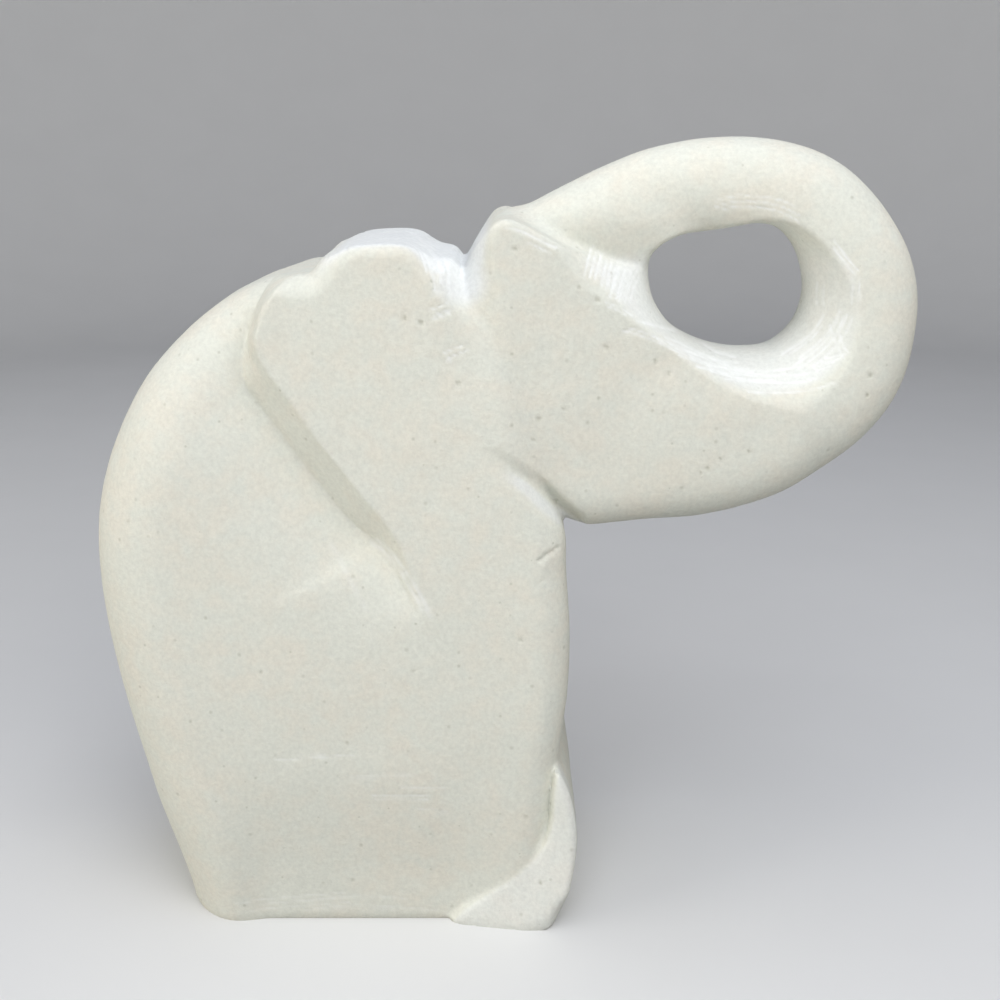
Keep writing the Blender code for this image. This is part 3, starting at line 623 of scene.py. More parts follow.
def rasp_and_highlight_share(places, view):
    """How white each vertex is, vertex by vertex: fresh rasp work in the funnel, and painted highlight where
    the funnel's lower side, the ear's top, the neck's top, the chest's edge and the foot face the light.
    """
    x, z = places[:, 0], places[:, 2]
    maps = dict(zip(SideView.NAMES, view.at(x, z)))
    px, pz = x / PERCENT, z / PERCENT
    side = np.abs(places[:, 1])
    # the funnel: fresh rasp work, plus painted highlight on its lower, upward-facing side; its shaded top is
    # left out
    funnel = ramp(maps["funnel"], 0.0012, -0.0015) * np.maximum(
        ramp(pz - 0.15 * px, 83.0, 78.0) * (1 - 0.5 * ramp(px, 34, 41) * ramp(pz, 72, 78)),
        ramp(px, 21, 17) * ramp(pz, 87.2, 84.6))
    inside_face = ramp(maps["body_face"] + side, -0.0004, -0.0024)
    # painted highlight on the ear's top, which faces up
    ear_top = (inside_face * ramp(maps["body"], -0.0060, -0.0030) * ramp(px, -23, -18)
               * ramp(px, -0.5, -2.5) * ramp(pz, 82, 85))
    # painted highlight in the valley at the neck's top
    valley = ramp(np.hypot(px + 4.5, pz - 84.0), 4.0, 1.5)
    # painted highlight on the chest's side of the jaw crease
    off_crease, share = distance_to_path(x, z, smooth_path(np.array(JAW_CREASE) * PERCENT))
    chest_edge = (0.65 * ramp(-off_crease, 0.0008, 0.0018) * ramp(-off_crease, 0.0044, 0.0028)
                  * ramp(share, 0.08, 0.3))
    # painted highlight on the foot's flat side face
    foot = 0.4 * ramp(maps["foot"], 0.0, -0.0006) * ramp(side, 0.022, 0.027)
    return np.max([0.65 * funnel, ear_top, valley, chest_edge, foot], axis=0)


def rough_block():
    """The carving as a plain mesh, before its tool marks."""
    reach_x, reach_z = 0.535 * HEIGHT, 1.02 * HEIGHT
    view = SideView(np.arange(-reach_x, reach_x, MAP_PITCH), np.arange(-0.004, reach_z, MAP_PITCH))
    half = math.ceil((FOOT_WIDTH / 2 + COARSE_CELL) / COARSE_CELL)
    x = np.arange(-reach_x + MAP_PITCH, reach_x - MAP_PITCH, COARSE_CELL)
    y = np.arange(-half, half + 1) * COARSE_CELL
    z = np.arange(-2.2 * COARSE_CELL, reach_z - MAP_PITCH, COARSE_CELL)
    X, Z = np.meshgrid(x, z, indexing="ij")
    maps = view.at(X.ravel(), Z.ravel()).reshape(len(SideView.NAMES), len(x), 1, len(z))
    form = stone_form(maps, np.abs(y)[None, :, None], z)
    vertices, quads = mesh_surface(form, (x, y, z), COARSE_CELL)
    mesh = bpy.data.meshes.new("rough block")
    mesh.from_pydata(fitted(vertices, view).tolist(), [], quads.tolist())
    refine(mesh, view)
    level_underside(mesh)
    # whiteness kept for the material: fresh rasp work and painted highlight
    rasped_and_highlight = mesh.attributes.new("rasped_and_highlight", "FLOAT", "POINT")
    rasped_and_highlight.data.foreach_set("value", rasp_and_highlight_share(vertex_places(mesh), view))
    return mesh


def add_node(tree, kind, inputs=(), **settings):
    """One node with its settings. Each input is given a value or another node's output."""
    node = tree.nodes.new(kind)
    for name, value in settings.items():
        setattr(node, name, value)
    for key, value in dict(inputs).items():
        if isinstance(value, bpy.types.NodeSocket):
            tree.links.new(value, node.inputs[key])
        else:
            node.inputs[key].default_value = value
    return node


def new_tree(name, inputs):
    """A Geometry Nodes tree with named inputs, and its input node."""
    tree = bpy.data.node_groups.new(name, "GeometryNodeTree")
    tree.interface.new_socket("Geometry", in_out="OUTPUT", socket_type="NodeSocketGeometry")
    for label, kind in (("Geometry", "Geometry"),) + inputs:
        tree.interface.new_socket(label, in_out="INPUT", socket_type="NodeSocket" + kind)
    return tree, tree.nodes.new("NodeGroupInput")


def end_tree(tree, geometry, material):
    """Every tree ends the same way: plain geometry with its material."""
    plain = add_node(tree, "GeometryNodeRealizeInstances", {"Geometry": geometry})
    dressed = add_node(tree, "GeometryNodeSetMaterial", {"Geometry": plain.outputs[0],
                                                         "Material": material})
    add_node(tree, "NodeGroupOutput", {"Geometry": dressed.outputs[0]})


def stored(tree, geometry, name, value):
    """Keep the larger of an attribute and this value under the attribute's name."""
    before = add_node(tree, "GeometryNodeInputNamedAttribute", {"Name": name}, data_type="FLOAT")
    larger = add_node(tree, "ShaderNodeMath", {0: before.outputs[0], 1: value}, operation="MAXIMUM")
    return add_node(tree, "GeometryNodeStoreNamedAttribute",
                    {"Geometry": geometry, "Name": name, "Value": larger.outputs[0]},
                    data_type="FLOAT", domain="POINT").outputs[0]


def seen_from(tree, side, beyond):
    """1 where a place lies further than this towards a side, and the place as seen from there."""
    place = add_node(tree, "GeometryNodeInputPosition").outputs[0]
    out = add_node(tree, "ShaderNodeVectorMath", {0: place, 1: side}, operation="DOT_PRODUCT")
    there = add_node(tree, "ShaderNodeMath", {0: out.outputs["Value"], 1: beyond},
                     operation="GREATER_THAN")
    step = add_node(tree, "ShaderNodeVectorMath", {0: side, "Scale": out.outputs["Value"]},
                    operation="SCALE")
    flat = add_node(tree, "ShaderNodeVectorMath", {0: place, 1: step.outputs[0]},
                    operation="SUBTRACT")
    return there.outputs[0], flat.outputs[0]


def sunk(tree, geometry, depth):
    """Push the surface in by this depth."""
    normal = add_node(tree, "GeometryNodeInputNormal").outputs[0]
    inward = add_node(tree, "ShaderNodeMath", {0: depth, 1: -1.0}, operation="MULTIPLY")
    move = add_node(tree, "ShaderNodeVectorMath", {0: normal, "Scale": inward.outputs[0]},
                    operation="SCALE")
    return add_node(tree, "GeometryNodeSetPosition",
                    {"Geometry": geometry, "Offset": move.outputs[0]}).outputs[0]


def stroke_tree():
    """Rasp strokes: copies of a guide line beside each other, each straying and stopping a little
    differently, pressed into the stone where they pass over it as seen from one side."""
    tree, given = new_tree("rasp strokes", (
        ("Guide", "Object"), ("Strokes", "Int"), ("Spacing", "Float"), ("Wander", "Float"),
        ("Width", "Float"), ("Depth", "Float"), ("Dust", "Float"), ("Side", "Vector"),
        ("Beyond", "Float"), ("Seed", "Int"), ("Material", "Material")))
    g = given.outputs
    guide = add_node(tree, "GeometryNodeObjectInfo", {"Object": g["Guide"]})
    line = add_node(tree, "GeometryNodeMeshToCurve", {0: guide.outputs["Geometry"]})
    even = add_node(tree, "GeometryNodeResampleCurve", {"Curve": line.outputs[0], "Count": 24})
    copies = add_node(tree, "GeometryNodeDuplicateElements",
                      {"Geometry": even.outputs[0], "Amount": g["Strokes"]}, domain="SPLINE")
    number = copies.outputs["Duplicate Index"]
    middle = add_node(tree, "ShaderNodeMath", {0: g["Strokes"], 1: -0.5, 2: 0.5},
                      operation="MULTIPLY_ADD")
    rank = add_node(tree, "ShaderNodeMath", {0: number, 1: middle.outputs[0]}, operation="ADD")
    stray = add_node(tree, "FunctionNodeRandomValue",
                     {2: -1.0, 3: 1.0, "ID": number, "Seed": g["Seed"]}, data_type="FLOAT")
    strayed = add_node(tree, "ShaderNodeMath",
                       {0: stray.outputs[1], 1: g["Wander"], 2: rank.outputs[0]},
                       operation="MULTIPLY_ADD")
    aside = add_node(tree, "ShaderNodeMath", {0: strayed.outputs[0], 1: g["Spacing"]},
                     operation="MULTIPLY")
    across = add_node(tree, "ShaderNodeVectorMath",
                      {0: add_node(tree, "GeometryNodeInputTangent").outputs[0], 1: g["Side"]},
                      operation="CROSS_PRODUCT")
    offset = add_node(tree, "ShaderNodeVectorMath",
                      {0: across.outputs[0], "Scale": aside.outputs[0]}, operation="SCALE")
    spread = add_node(tree, "GeometryNodeSetPosition",
                      {"Geometry": copies.outputs[0], "Offset": offset.outputs[0]})
    later = add_node(tree, "ShaderNodeMath", {0: g["Seed"], 1: 1.0}, operation="ADD")
    start = add_node(tree, "FunctionNodeRandomValue",
                     {2: 0.0, 3: 0.22, "ID": number, "Seed": later.outputs[0]}, data_type="FLOAT")
    stop = add_node(tree, "FunctionNodeRandomValue",
                    {2: 0.74, 3: 1.0, "ID": number, "Seed": g["Seed"]}, data_type="FLOAT")
    cut = add_node(tree, "GeometryNodeTrimCurve",
                   {0: spread.outputs[0], 2: start.outputs[1], 3: stop.outputs[1]}, mode="FACTOR")
    wire = add_node(tree, "GeometryNodeCurveToMesh", {0: cut.outputs[0]})
    there, flat = seen_from(tree, g["Side"], g["Beyond"])
    gap = add_node(tree, "GeometryNodeProximity", {0: wire.outputs[0], "Sample Position": flat},
                   target_element="EDGES")
    half = add_node(tree, "ShaderNodeMath", {0: g["Width"], 1: 0.5}, operation="MULTIPLY")
    profile = add_node(tree, "ShaderNodeMapRange",
                       {0: gap.outputs["Distance"], 1: 0.0, 2: half.outputs[0], 3: 1.0, 4: 0.0},
                       interpolation_type="SMOOTHSTEP")
    uneven = add_node(tree, "ShaderNodeTexNoise", {"Scale": 450.0, "Detail": 1.0})
    press = add_node(tree, "ShaderNodeMapRange", {0: uneven.outputs["Fac"], 1: 0.3, 2: 0.6, 3: 0.35, 4: 1.0})
    mark = add_node(tree, "ShaderNodeMath", {0: profile.outputs[0], 1: press.outputs[0]},
                    operation="MULTIPLY")
    mark = add_node(tree, "ShaderNodeMath", {0: mark.outputs[0], 1: there}, operation="MULTIPLY")
    depth = add_node(tree, "ShaderNodeMath", {0: mark.outputs[0], 1: g["Depth"]},
                     operation="MULTIPLY")
    # dust in the stroke; along the ear's bevel and under the trunk's tip it is a painted highlight
    stroke_dust_and_highlight = add_node(tree, "ShaderNodeMath", {0: mark.outputs[0], 1: g["Dust"]},
                     operation="MULTIPLY")
    kept = stored(tree, g["Geometry"], "tool_mark", stroke_dust_and_highlight.outputs[0])
    end_tree(tree, sunk(tree, kept, depth.outputs[0]), g["Material"])
    return tree


def pit_tree():
    """Round pits at given places, each with its own radius."""
    tree, given = new_tree("grain pits", (("Places", "Object"), ("Depth share", "Float"),
                                          ("Side", "Vector"), ("Material", "Material")))
    g = given.outputs
    places = add_node(tree, "GeometryNodeObjectInfo", {"Object": g["Places"]}).outputs["Geometry"]
    there, flat = seen_from(tree, g["Side"], 0.0)
    gap = add_node(tree, "GeometryNodeProximity", {0: places, "Sample Position": flat},
                   target_element="POINTS")
    index = add_node(tree, "GeometryNodeSampleNearest", {0: places, "Sample Position": flat})
    size = add_node(tree, "GeometryNodeInputNamedAttribute", {"Name": "pit_radius"},
                    data_type="FLOAT")
    radius = add_node(tree, "GeometryNodeSampleIndex",
                      {0: places, "Value": size.outputs[0], "Index": index.outputs[0]},
                      data_type="FLOAT", domain="POINT").outputs[0]
    ragged = add_node(tree, "ShaderNodeTexNoise", {"Scale": 900.0, "Detail": 2.0})
    reach = add_node(tree, "ShaderNodeMapRange",
                     {0: ragged.outputs["Fac"], 1: 0.3, 2: 0.7, 3: 0.6, 4: 1.25})
    edge = add_node(tree, "ShaderNodeMath", {0: radius, 1: reach.outputs[0]}, operation="MULTIPLY")
    cup = add_node(tree, "ShaderNodeMapRange",
                   {0: gap.outputs["Distance"], 1: 0.0, 2: edge.outputs[0], 3: 1.0, 4: 0.0},
                   interpolation_type="SMOOTHSTEP")
    pit = add_node(tree, "ShaderNodeMath", {0: cup.outputs[0], 1: there}, operation="MULTIPLY")
    deep = add_node(tree, "ShaderNodeMath", {0: radius, 1: g["Depth share"]}, operation="MULTIPLY")
    depth = add_node(tree, "ShaderNodeMath", {0: pit.outputs[0], 1: deep.outputs[0]},
                     operation="MULTIPLY")
    # the pit's share goes to the material, which paints shade into the pit
    kept = stored(tree, g["Geometry"], "pit", pit.outputs[0])
    end_tree(tree, sunk(tree, kept, depth.outputs[0]), g["Material"])
    return tree


def rubbed_tree():
    """The unevenness of a surface rubbed down by hand: low swells, and small ones over them."""
    tree, given = new_tree("hand rubbed", (
        ("Swell size", "Float"), ("Swell height", "Float"), ("Ripple size", "Float"),
        ("Ripple height", "Float"), ("Material", "Material")))
    g = given.outputs
    place = add_node(tree, "GeometryNodeInputPosition").outputs[0]
    height = 0.0
    for size, tall in (("Swell size", "Swell height"), ("Ripple size", "Ripple height")):
        scale = add_node(tree, "ShaderNodeMath", {0: 1.0, 1: g[size]}, operation="DIVIDE")
        noise = add_node(tree, "ShaderNodeTexNoise",
                         {"Vector": place, "Scale": scale.outputs[0], "Detail": 1.0})
        centred = add_node(tree, "ShaderNodeMath", {0: noise.outputs["Fac"], 1: -0.5}, operation="ADD")
        height = add_node(tree, "ShaderNodeMath", {0: centred.outputs[0], 1: g[tall], 2: height},
                          operation="MULTIPLY_ADD").outputs[0]
    up = add_node(tree, "ShaderNodeSeparateXYZ", {0: place}).outputs["Z"]
    clear = add_node(tree, "ShaderNodeMapRange", {0: up, 1: 0.0006, 2: 0.005, 3: 0.0, 4: 1.0},
                     interpolation_type="SMOOTHSTEP")
    depth = add_node(tree, "ShaderNodeMath", {0: height, 1: clear.outputs[0]}, operation="MULTIPLY")
    end_tree(tree, sunk(tree, g["Geometry"], depth.outputs[0]), g["Material"])
    return tree


def guide_object(name, places, side, loose=False):
    """A helper mesh in the plane that a side looks onto: a line through the places, or loose points."""
    mesh = bpy.data.meshes.new(name)
    edges = [] if loose else [(i, i + 1) for i in range(len(places) - 1)]
    mesh.from_pydata([(x, other, 0.0) if side == ABOVE else (x, 0.0, other) for x, other in places],
                     edges, [])
    thing = bpy.data.objects.new(name, mesh)
    bpy.context.scene.collection.objects.link(thing)
    return thing


def add_modifier(thing, tree, **inputs):
    """A Geometry Nodes modifier whose inputs are set by their identifiers."""
    modifier = thing.modifiers.new(tree.name, "NODES")
    modifier.node_group = tree
    for label, value in inputs.items():
        socket = tree.interface.items_tree[label.replace("_", " ")]
        modifier[socket.identifier] = value


def linear(hex_colour):
    """A linear colour from an sRGB hex value."""
    shares = [int(hex_colour[i:i + 2], 16) / 255 for i in (1, 3, 5)]
    return [s / 12.92 if s <= 0.04045 else ((s + 0.055) / 1.055) ** 2.4 for s in shares] + [1.0]


STONE_TINT = linear("#DDDED2")
WARM_TINT = linear("#E0DDCF")
# dark grains, also the colour of the painted shade in the pits
GRAIN_AND_PIT_SHADE_TINT = linear("#A9A897")
# whiter rasp-worked stone, also the colour of the painted highlight on up-facing places
RASP_AND_HIGHLIGHT_TINT = linear("#E8EAE7")
# dust in the strokes, also the colour of the painted highlight along two of them
DUST_AND_HIGHLIGHT_TINT = linear("#F3F4F1")
FLOOR_TINT = linear("#E4E4E2")
BACKDROP_TINT = linear("#F6F6F4")
BOUNCE_SHARE = 0.60         # how much of its own paleness the floor throws back onto the stone

# The studio's soft lights: name, place, size, share of the light's power, colour
LIGHTS = [
    ("window_light", (-0.95, -0.35, 0.20), 0.6, 0.37, "#FFFAF1"),
    ("ceiling_light", (0.0, -0.05, 1.0), 0.9, 0.20, "#E6ECFF"),
    ("upper_front_light", (0.0, -0.75, 0.85), 0.7, 0.26, "#F2F6FF"),
    ("right_light", (0.58, -0.74, 0.65), 0.6, 0.14, "#FFFBF5"),
    ("near_light", (0.10, -0.25, 0.50), 0.5, 0.06, "#FFFFFF"),
]


class FigurineStone(bpy.types.PropertyGroup):
    """The stone: how it was worked and its colours."""
    swell_size: bpy.props.FloatProperty(
        name="Swell size", description="Distance between the low swells that rubbing by hand leaves",
        default=0.022, min=0.005, subtype="DISTANCE")
    swell_height: bpy.props.FloatProperty(
        name="Swell height", description="How far the surface rises and falls over a swell",
        default=0.0007, min=0.0, subtype="DISTANCE")
    ripple_size: bpy.props.FloatProperty(
        name="Ripple size", description="Distance between the small ripples on the swells",
        default=0.006, min=0.002, subtype="DISTANCE")
    ripple_height: bpy.props.FloatProperty(
        name="Ripple height", description="How far the surface rises and falls over a ripple",
        default=0.00012, min=0.0, subtype="DISTANCE")
    stroke_strength: bpy.props.FloatProperty(
        name="Stroke strength", description="Depth of the rasp strokes, as a share of the listed depth",
        default=1.0, min=0.0, max=2.0, subtype="FACTOR")
    stone_colour: bpy.props.FloatVectorProperty(
        name="Stone", description="Colour of the dry limestone",
        default=STONE_TINT, size=4, min=0, max=1, subtype="COLOR")
    warm_colour: bpy.props.FloatVectorProperty(
        name="Warm patches", description="Colour of the patches with more iron in them",
        default=WARM_TINT, size=4, min=0, max=1, subtype="COLOR")
    # also the colour of the painted shade in the pits
    grain_and_pit_shade_colour: bpy.props.FloatVectorProperty(
        name="Dark grains", description="Colour of the dark grains and the pits",
        default=GRAIN_AND_PIT_SHADE_TINT, size=4, min=0, max=1, subtype="COLOR")
    # also the colour of the painted highlight on up-facing places
    rasp_and_highlight_colour: bpy.props.FloatVectorProperty(
        name="Rasped stone", description="Colour of the whiter stone where it was cut last",
        default=RASP_AND_HIGHLIGHT_TINT, size=4, min=0, max=1, subtype="COLOR")
    # also the colour of the painted highlight along two strokes
    dust_and_highlight_colour: bpy.props.FloatVectorProperty(
        name="Dust", description="Colour of the stone dust left in the strokes",
        default=DUST_AND_HIGHLIGHT_TINT, size=4, min=0, max=1, subtype="COLOR")


class FigurineStage(bpy.types.PropertyGroup):
    """The studio: floor, light and camera."""
    floor_colour: bpy.props.FloatVectorProperty(
        name="Floor", description="Colour of the floor", default=FLOOR_TINT, size=4, min=0, max=1,
        subtype="COLOR")
    backdrop_colour: bpy.props.FloatVectorProperty(
        name="Backdrop", description="Colour of the sweep that the floor runs up into",
        default=BACKDROP_TINT, size=4, min=0, max=1, subtype="COLOR")
    floor_radius: bpy.props.FloatProperty(
        name="Floor radius", description="How far the flat floor reaches", default=0.9, min=0.3,
        subtype="DISTANCE")
    lens: bpy.props.FloatProperty(
        name="Lens", description="Focal length on a sensor 36 mm wide, in millimetres",
        default=46.8, min=10.0)
    camera_place: bpy.props.FloatVectorProperty(
        name="Camera", description="Where the camera stands", default=(-0.0003, -0.327, 0.206),
        size=3, subtype="TRANSLATION")
    camera_pitch: bpy.props.FloatProperty(
        name="Pitch", description="How far the camera looks down", default=math.radians(16.7),
        subtype="ANGLE")
    light_power: bpy.props.FloatProperty(
        name="Light", description="Power of all the soft lights together, in watts",
        default=15.3, min=0.0)
    room_strength: bpy.props.FloatProperty(
        name="Room light", description="Strength of the even light from all round",
        default=0.10, min=0.0)


def limestone_rubbed(stone):
    """Fine-grained limestone, sawn, worked with a rasp and rubbed down by hand.

    It is matt and sandy to the eye: pale cream with faint warm patches, a fine grain, scattered dark grains,
    and dust-white where the rasp passed last. Whiter painted highlight lies on the up-facing places and along
    two strokes, and painted shade darkens the pits.
    """
    material = bpy.data.materials.new("limestone_rubbed")
    material.use_nodes = True
    tree = material.node_tree
    shader = tree.nodes["Principled BSDF"]
    shader.inputs["Roughness"].default_value = 0.88
    shader.inputs["Specular IOR Level"].default_value = 0.35
    shader.inputs["IOR"].default_value = 1.5
    place = add_node(tree, "ShaderNodeTexCoord").outputs["Object"]

    # patches about 18 mm across and blotches about 5 mm across
    patches = add_node(tree, "ShaderNodeTexNoise", {"Vector": place, "Scale": 1 / 0.018, "Detail": 2.0})
    blotches = add_node(tree, "ShaderNodeTexNoise", {"Vector": place, "Scale": 1 / 0.005, "Detail": 2.0})
    warm = add_node(tree, "ShaderNodeMath", {0: patches.outputs["Fac"], 1: blotches.outputs["Fac"]},
                    operation="MULTIPLY")
    warm = add_node(tree, "ShaderNodeMapRange", {0: warm.outputs[0], 1: 0.16, 2: 0.38, 3: 0.0, 4: 1.0})
    colour = add_node(tree, "ShaderNodeMix", {0: warm.outputs[0], 6: tuple(stone.stone_colour),
                                              7: tuple(stone.warm_colour)}, data_type="RGBA")
    # whiter where the rasp passed last, with painted highlight on the ear's top, the neck valley, the chest's
    # edge, the foot and the funnel's lower side
    rasped_and_highlight = add_node(tree, "ShaderNodeAttribute", attribute_name="rasped_and_highlight")
    colour = add_node(tree, "ShaderNodeMix", {0: rasped_and_highlight.outputs["Fac"], 6: colour.outputs[2],
                                              7: tuple(stone.rasp_and_highlight_colour)}, data_type="RGBA")
    # sand grains 0.6 mm across, lighter and darker than the stone
    grain = add_node(tree, "ShaderNodeTexNoise", {"Vector": place, "Scale": 1 / 0.0011, "Detail": 3.0,
                                                  "Roughness": 0.65})
    shade = add_node(tree, "ShaderNodeMapRange", {0: grain.outputs["Fac"], 1: 0.3, 2: 0.7, 3: 0.93, 4: 1.05})
    colour = add_node(tree, "ShaderNodeVectorMath", {0: colour.outputs[2], "Scale": shade.outputs[0]},
                      operation="SCALE")
    # dark grains in one cell of four, cells 2.6 mm wide
    cells = add_node(tree, "ShaderNodeTexVoronoi", {"Vector": place, "Scale": 1 / 0.0026})
    chance = add_node(tree, "ShaderNodeSeparateColor", {0: cells.outputs["Color"]})
    reach = add_node(tree, "ShaderNodeMapRange", {0: chance.outputs[0], 1: 0.72, 2: 1.0, 3: 0.0, 4: 0.30})
    speck = add_node(tree, "ShaderNodeMapRange",
                     {0: cells.outputs["Distance"], 1: reach.outputs[0], 2: 0.0, 3: 0.0, 4: 1.0})
    sparse = add_node(tree, "ShaderNodeMath", {0: speck.outputs[0], 1: 0.55}, operation="MULTIPLY")
    # painted shade in the pits: they are darkened towards the dark grains' colour
    pit = add_node(tree, "ShaderNodeAttribute", attribute_name="pit")
    hollow = add_node(tree, "ShaderNodeMath", {0: pit.outputs["Fac"], 1: 0.7}, operation="MULTIPLY")
    dark = add_node(tree, "ShaderNodeMath", {0: sparse.outputs[0], 1: hollow.outputs[0]},
                    operation="MAXIMUM")
    colour = add_node(tree, "ShaderNodeMix", {0: dark.outputs[0], 6: colour.outputs[0],
                                              7: tuple(stone.grain_and_pit_shade_colour)}, data_type="RGBA")
    # white dust in the strokes, and a painted highlight in the strokes along the ear's bevel and under the
    # trunk's tip
    mark = add_node(tree, "ShaderNodeAttribute", attribute_name="tool_mark")
    dust = add_node(tree, "ShaderNodeMath", {0: mark.outputs["Fac"], 1: 0.75}, operation="MULTIPLY")
    colour = add_node(tree, "ShaderNodeMix", {0: dust.outputs[0], 6: colour.outputs[2],
                                              7: tuple(stone.dust_and_highlight_colour)}, data_type="RGBA")
    tree.links.new(colour.outputs[2], shader.inputs["Base Color"])

    # the grain stands 0.05 mm proud and the dark grains sit in small hollows
    height = add_node(tree, "ShaderNodeMath", {0: sparse.outputs[0], 1: -0.8, 2: grain.outputs["Fac"]},
                      operation="MULTIPLY_ADD")
    bump = add_node(tree, "ShaderNodeBump", {"Height": height.outputs[0], "Strength": 0.55,
                                             "Distance": 0.00022})
    tree.links.new(bump.outputs[0], shader.inputs["Normal"])
    return material


def floor_paint(stage):
    """Matt emulsion on a studio floor, rolled on: even, with a faint mottle, paler towards the sweep.

    It looks paler than the light that it throws back, so that the stone's undersides stay dark.
    """
    material = bpy.data.materials.new("matt_floor_paint")
    material.use_nodes = True
    tree = material.node_tree
    shader = tree.nodes["Principled BSDF"]
    shader.inputs["Roughness"].default_value = 0.9
    place = add_node(tree, "ShaderNodeTexCoord").outputs["Object"]
    mottle = add_node(tree, "ShaderNodeTexNoise", {"Vector": place, "Scale": 1 / 0.05, "Detail": 2.0})
    shade = add_node(tree, "ShaderNodeMapRange", {0: mottle.outputs["Fac"], 1: 0.3, 2: 0.7, 3: 0.985, 4: 1.0})
    out = add_node(tree, "ShaderNodeVectorMath", {0: place}, operation="LENGTH")
    paler = add_node(tree, "ShaderNodeMapRange", {0: out.outputs["Value"], 1: 0.15, 2: 0.80, 3: 0.0, 4: 1.0},
                     interpolation_type="SMOOTHSTEP")
    tint = add_node(tree, "ShaderNodeMix", {0: paler.outputs[0], 6: tuple(stage.floor_colour),
                                            7: tuple(stage.backdrop_colour)}, data_type="RGBA")
    seen = add_node(tree, "ShaderNodeLightPath").outputs["Is Camera Ray"]
    bounce = add_node(tree, "ShaderNodeMapRange", {0: seen, 3: BOUNCE_SHARE, 4: 1.0})
    shade = add_node(tree, "ShaderNodeMath", {0: shade.outputs[0], 1: bounce.outputs[0]},
                     operation="MULTIPLY")
    colour = add_node(tree, "ShaderNodeVectorMath", {0: tint.outputs[2], "Scale": shade.outputs[0]},
                      operation="SCALE")
    tree.links.new(colour.outputs[0], shader.inputs["Base Color"])
    return material


class OBJECT_OT_carve_figurine(bpy.types.Operator):
    """Carve the elephant from one limestone block, with its tool marks, in place of the plain stone"""
    bl_idname = "object.carve_figurine"
    bl_label = "Carve Elephant"
    bl_options = {"REGISTER", "UNDO"}

    def execute(self, context):
        stone = context.scene.figurine_stone
        material = limestone_rubbed(stone)
        block = bpy.data.objects.new("rough block", rough_block())
        context.scene.collection.objects.link(block)
        add_modifier(block, rubbed_tree(), Swell_size=stone.swell_size, Swell_height=stone.swell_height,
                     Ripple_size=stone.ripple_size, Ripple_height=stone.ripple_height, Material=material)
        strokes, helpers = stroke_tree(), []
        for seed, (anchors, count, gap, width, depth, side) in enumerate(STROKES + CREASES):
            guide = guide_object("stroke guide", smooth_path(np.array(anchors) * PERCENT), side)
            helpers.append(guide)
            add_modifier(block, strokes, Guide=guide, Strokes=count, Spacing=gap * MM,
                         Wander=STROKE_WANDER, Width=width * MM, Depth=depth * MM * stone.stroke_strength,
                         Dust=min(1.0, depth / DUSTY_DEPTH) if seed < len(STROKES) else 0.0, Side=side,
                         Beyond=ABOVE_EARS if side == ABOVE else 0.0, Seed=seed, Material=material)
        pits = pit_tree()
        for side in (NEAR, FAR):
            here = [pit for pit in PITS if pit[3] == side]
            places = guide_object("pit places", [(x * PERCENT, z * PERCENT) for x, z, _, _ in here],
                                  side, loose=True)
            radii = places.data.attributes.new("pit_radius", "FLOAT", "POINT")
            radii.data.foreach_set("value", [radius * MM for _, _, radius, _ in here])
            helpers.append(places)
            add_modifier(block, pits, Places=places, Depth_share=PIT_DEPTH_SHARE, Side=side,
                         Material=material)
        evaluated = block.evaluated_get(context.evaluated_depsgraph_get())
        mesh = bpy.data.meshes.new_from_object(evaluated)
        mesh.name = "carved_elephant"
        for thing in helpers + [block]:
            bpy.data.objects.remove(thing)
        mesh.shade_smooth()
        mesh.set_sharp_from_angle(angle=SHARP_ANGLE)
        carved = bpy.data.objects.new("carved_elephant", mesh)
        context.scene.collection.objects.link(carved)
        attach(carved, "root")
        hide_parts("elephant_carving")
        return {"FINISHED"}


def soft_light(context, name, place, size, power, colour):
    """A square soft light that faces the middle of the figurine."""
    data = bpy.data.lights.new(name, "AREA")
    data.size = size
    data.energy = power
    data.color = linear(colour)[:3]
    light = bpy.data.objects.new(name, data)
    context.scene.collection.objects.link(light)
    middle = (CAD_LOW + CAD_HIGH) / 2
    light.location = place
    light.rotation_euler = (middle - light.location).to_track_quat("-Z", "Y").to_euler()


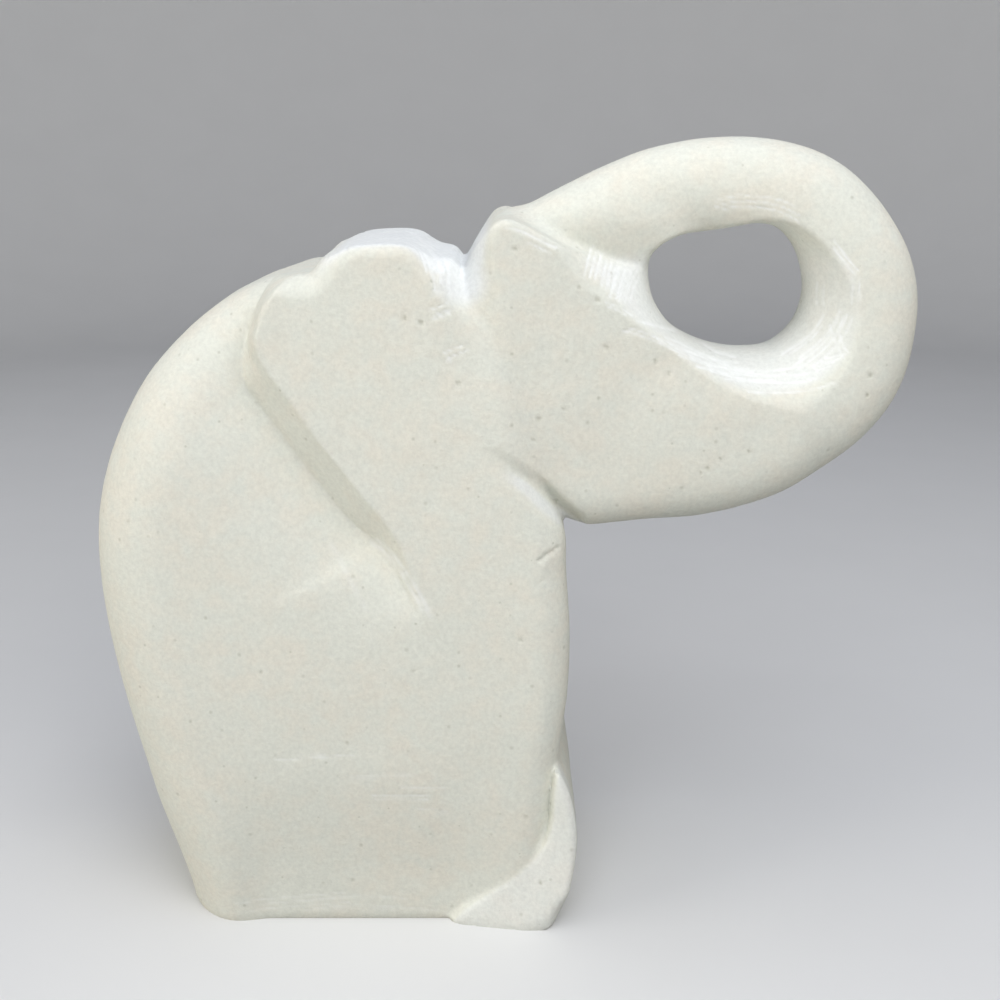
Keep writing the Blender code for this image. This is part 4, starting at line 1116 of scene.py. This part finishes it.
class OBJECT_OT_stage_figurine(bpy.types.Operator):
    """Set the pale floor, the soft lights and the camera round the figurine"""
    bl_idname = "object.stage_figurine"
    bl_label = "Set Stage"
    bl_options = {"REGISTER", "UNDO"}

    def execute(self, context):
        stage = context.scene.figurine_stage
        # a round floor whose far edge sweeps up, so that every side has the same plain backdrop
        bend = stage.floor_radius * 0.5
        profile = [(stage.floor_radius * share, 0.0) for share in (0.1, 0.25, 0.5, 0.75, 1.0)]
        profile += [(stage.floor_radius + bend * math.sin(a), bend * (1 - math.cos(a)))
                    for a in np.linspace(0, math.pi / 2, 13)[1:]]
        around = 96
        ring = [(math.cos(turn), math.sin(turn)) for turn in np.linspace(0, 2 * math.pi, around + 1)[:-1]]
        places = [(0.0, 0.0, 0.0)] + [(r * c, r * s, z) for r, z in profile for c, s in ring]
        faces = [(0, 1 + i, 1 + (i + 1) % around) for i in range(around)]
        for row in range(len(profile) - 1):
            for i in range(around):
                a, b = 1 + row * around + i, 1 + row * around + (i + 1) % around
                faces.append((a, a + around, b + around, b))
        mesh = bpy.data.meshes.new("studio_floor")
        mesh.from_pydata(places, [], faces)
        mesh.shade_smooth()
        mesh.materials.append(floor_paint(stage))
        floor = bpy.data.objects.new("studio_floor", mesh)
        context.scene.collection.objects.link(floor)

        world = bpy.data.worlds.new("studio")
        world.use_nodes = True
        sky = world.node_tree.nodes["Background"]
        sky.inputs["Color"].default_value = linear("#F4F6FA")
        sky.inputs["Strength"].default_value = stage.room_strength
        context.scene.world = world
        for name, place, size, share, colour in LIGHTS:
            soft_light(context, name, place, size, stage.light_power * share, colour)

        data = bpy.data.cameras.new("camera")
        data.lens = stage.lens
        data.sensor_width = 36.0
        data.clip_start = 0.01
        camera = bpy.data.objects.new("camera", data)
        context.scene.collection.objects.link(camera)
        camera.location = stage.camera_place
        camera.rotation_euler = (math.pi / 2 - stage.camera_pitch, 0.0, 0.0)
        context.scene.camera = camera
        context.scene.view_settings.view_transform = "Standard"
        return {"FINISHED"}


class VIEW3D_PT_figurine(bpy.types.Panel):
    """The figurine's settings and the buttons that make it"""
    bl_label = "Elephant Figurine"
    bl_idname = "VIEW3D_PT_figurine"
    bl_space_type = "VIEW_3D"
    bl_region_type = "UI"
    bl_category = "Figurine"

    def draw(self, context):
        for title, group, operator in (
                ("Stone", context.scene.figurine_stone, OBJECT_OT_carve_figurine),
                ("Stage", context.scene.figurine_stage, OBJECT_OT_stage_figurine)):
            box = self.layout.box()
            box.label(text=title)
            for name in group.__annotations__:
                box.prop(group, name)
            box.operator(operator.bl_idname)


CLASSES = (FigurineStone, FigurineStage, OBJECT_OT_carve_figurine, OBJECT_OT_stage_figurine,
           VIEW3D_PT_figurine)


def register():
    for cls in CLASSES:
        bpy.utils.register_class(cls)
    bpy.types.Scene.figurine_stone = bpy.props.PointerProperty(type=FigurineStone)
    bpy.types.Scene.figurine_stage = bpy.props.PointerProperty(type=FigurineStage)


def unregister():
    del bpy.types.Scene.figurine_stone
    del bpy.types.Scene.figurine_stage
    for cls in reversed(CLASSES):
        bpy.utils.unregister_class(cls)


def main():
    register()
    bpy.ops.object.carve_figurine()
    bpy.ops.object.stage_figurine()


if __name__ == "__main__":
    main()
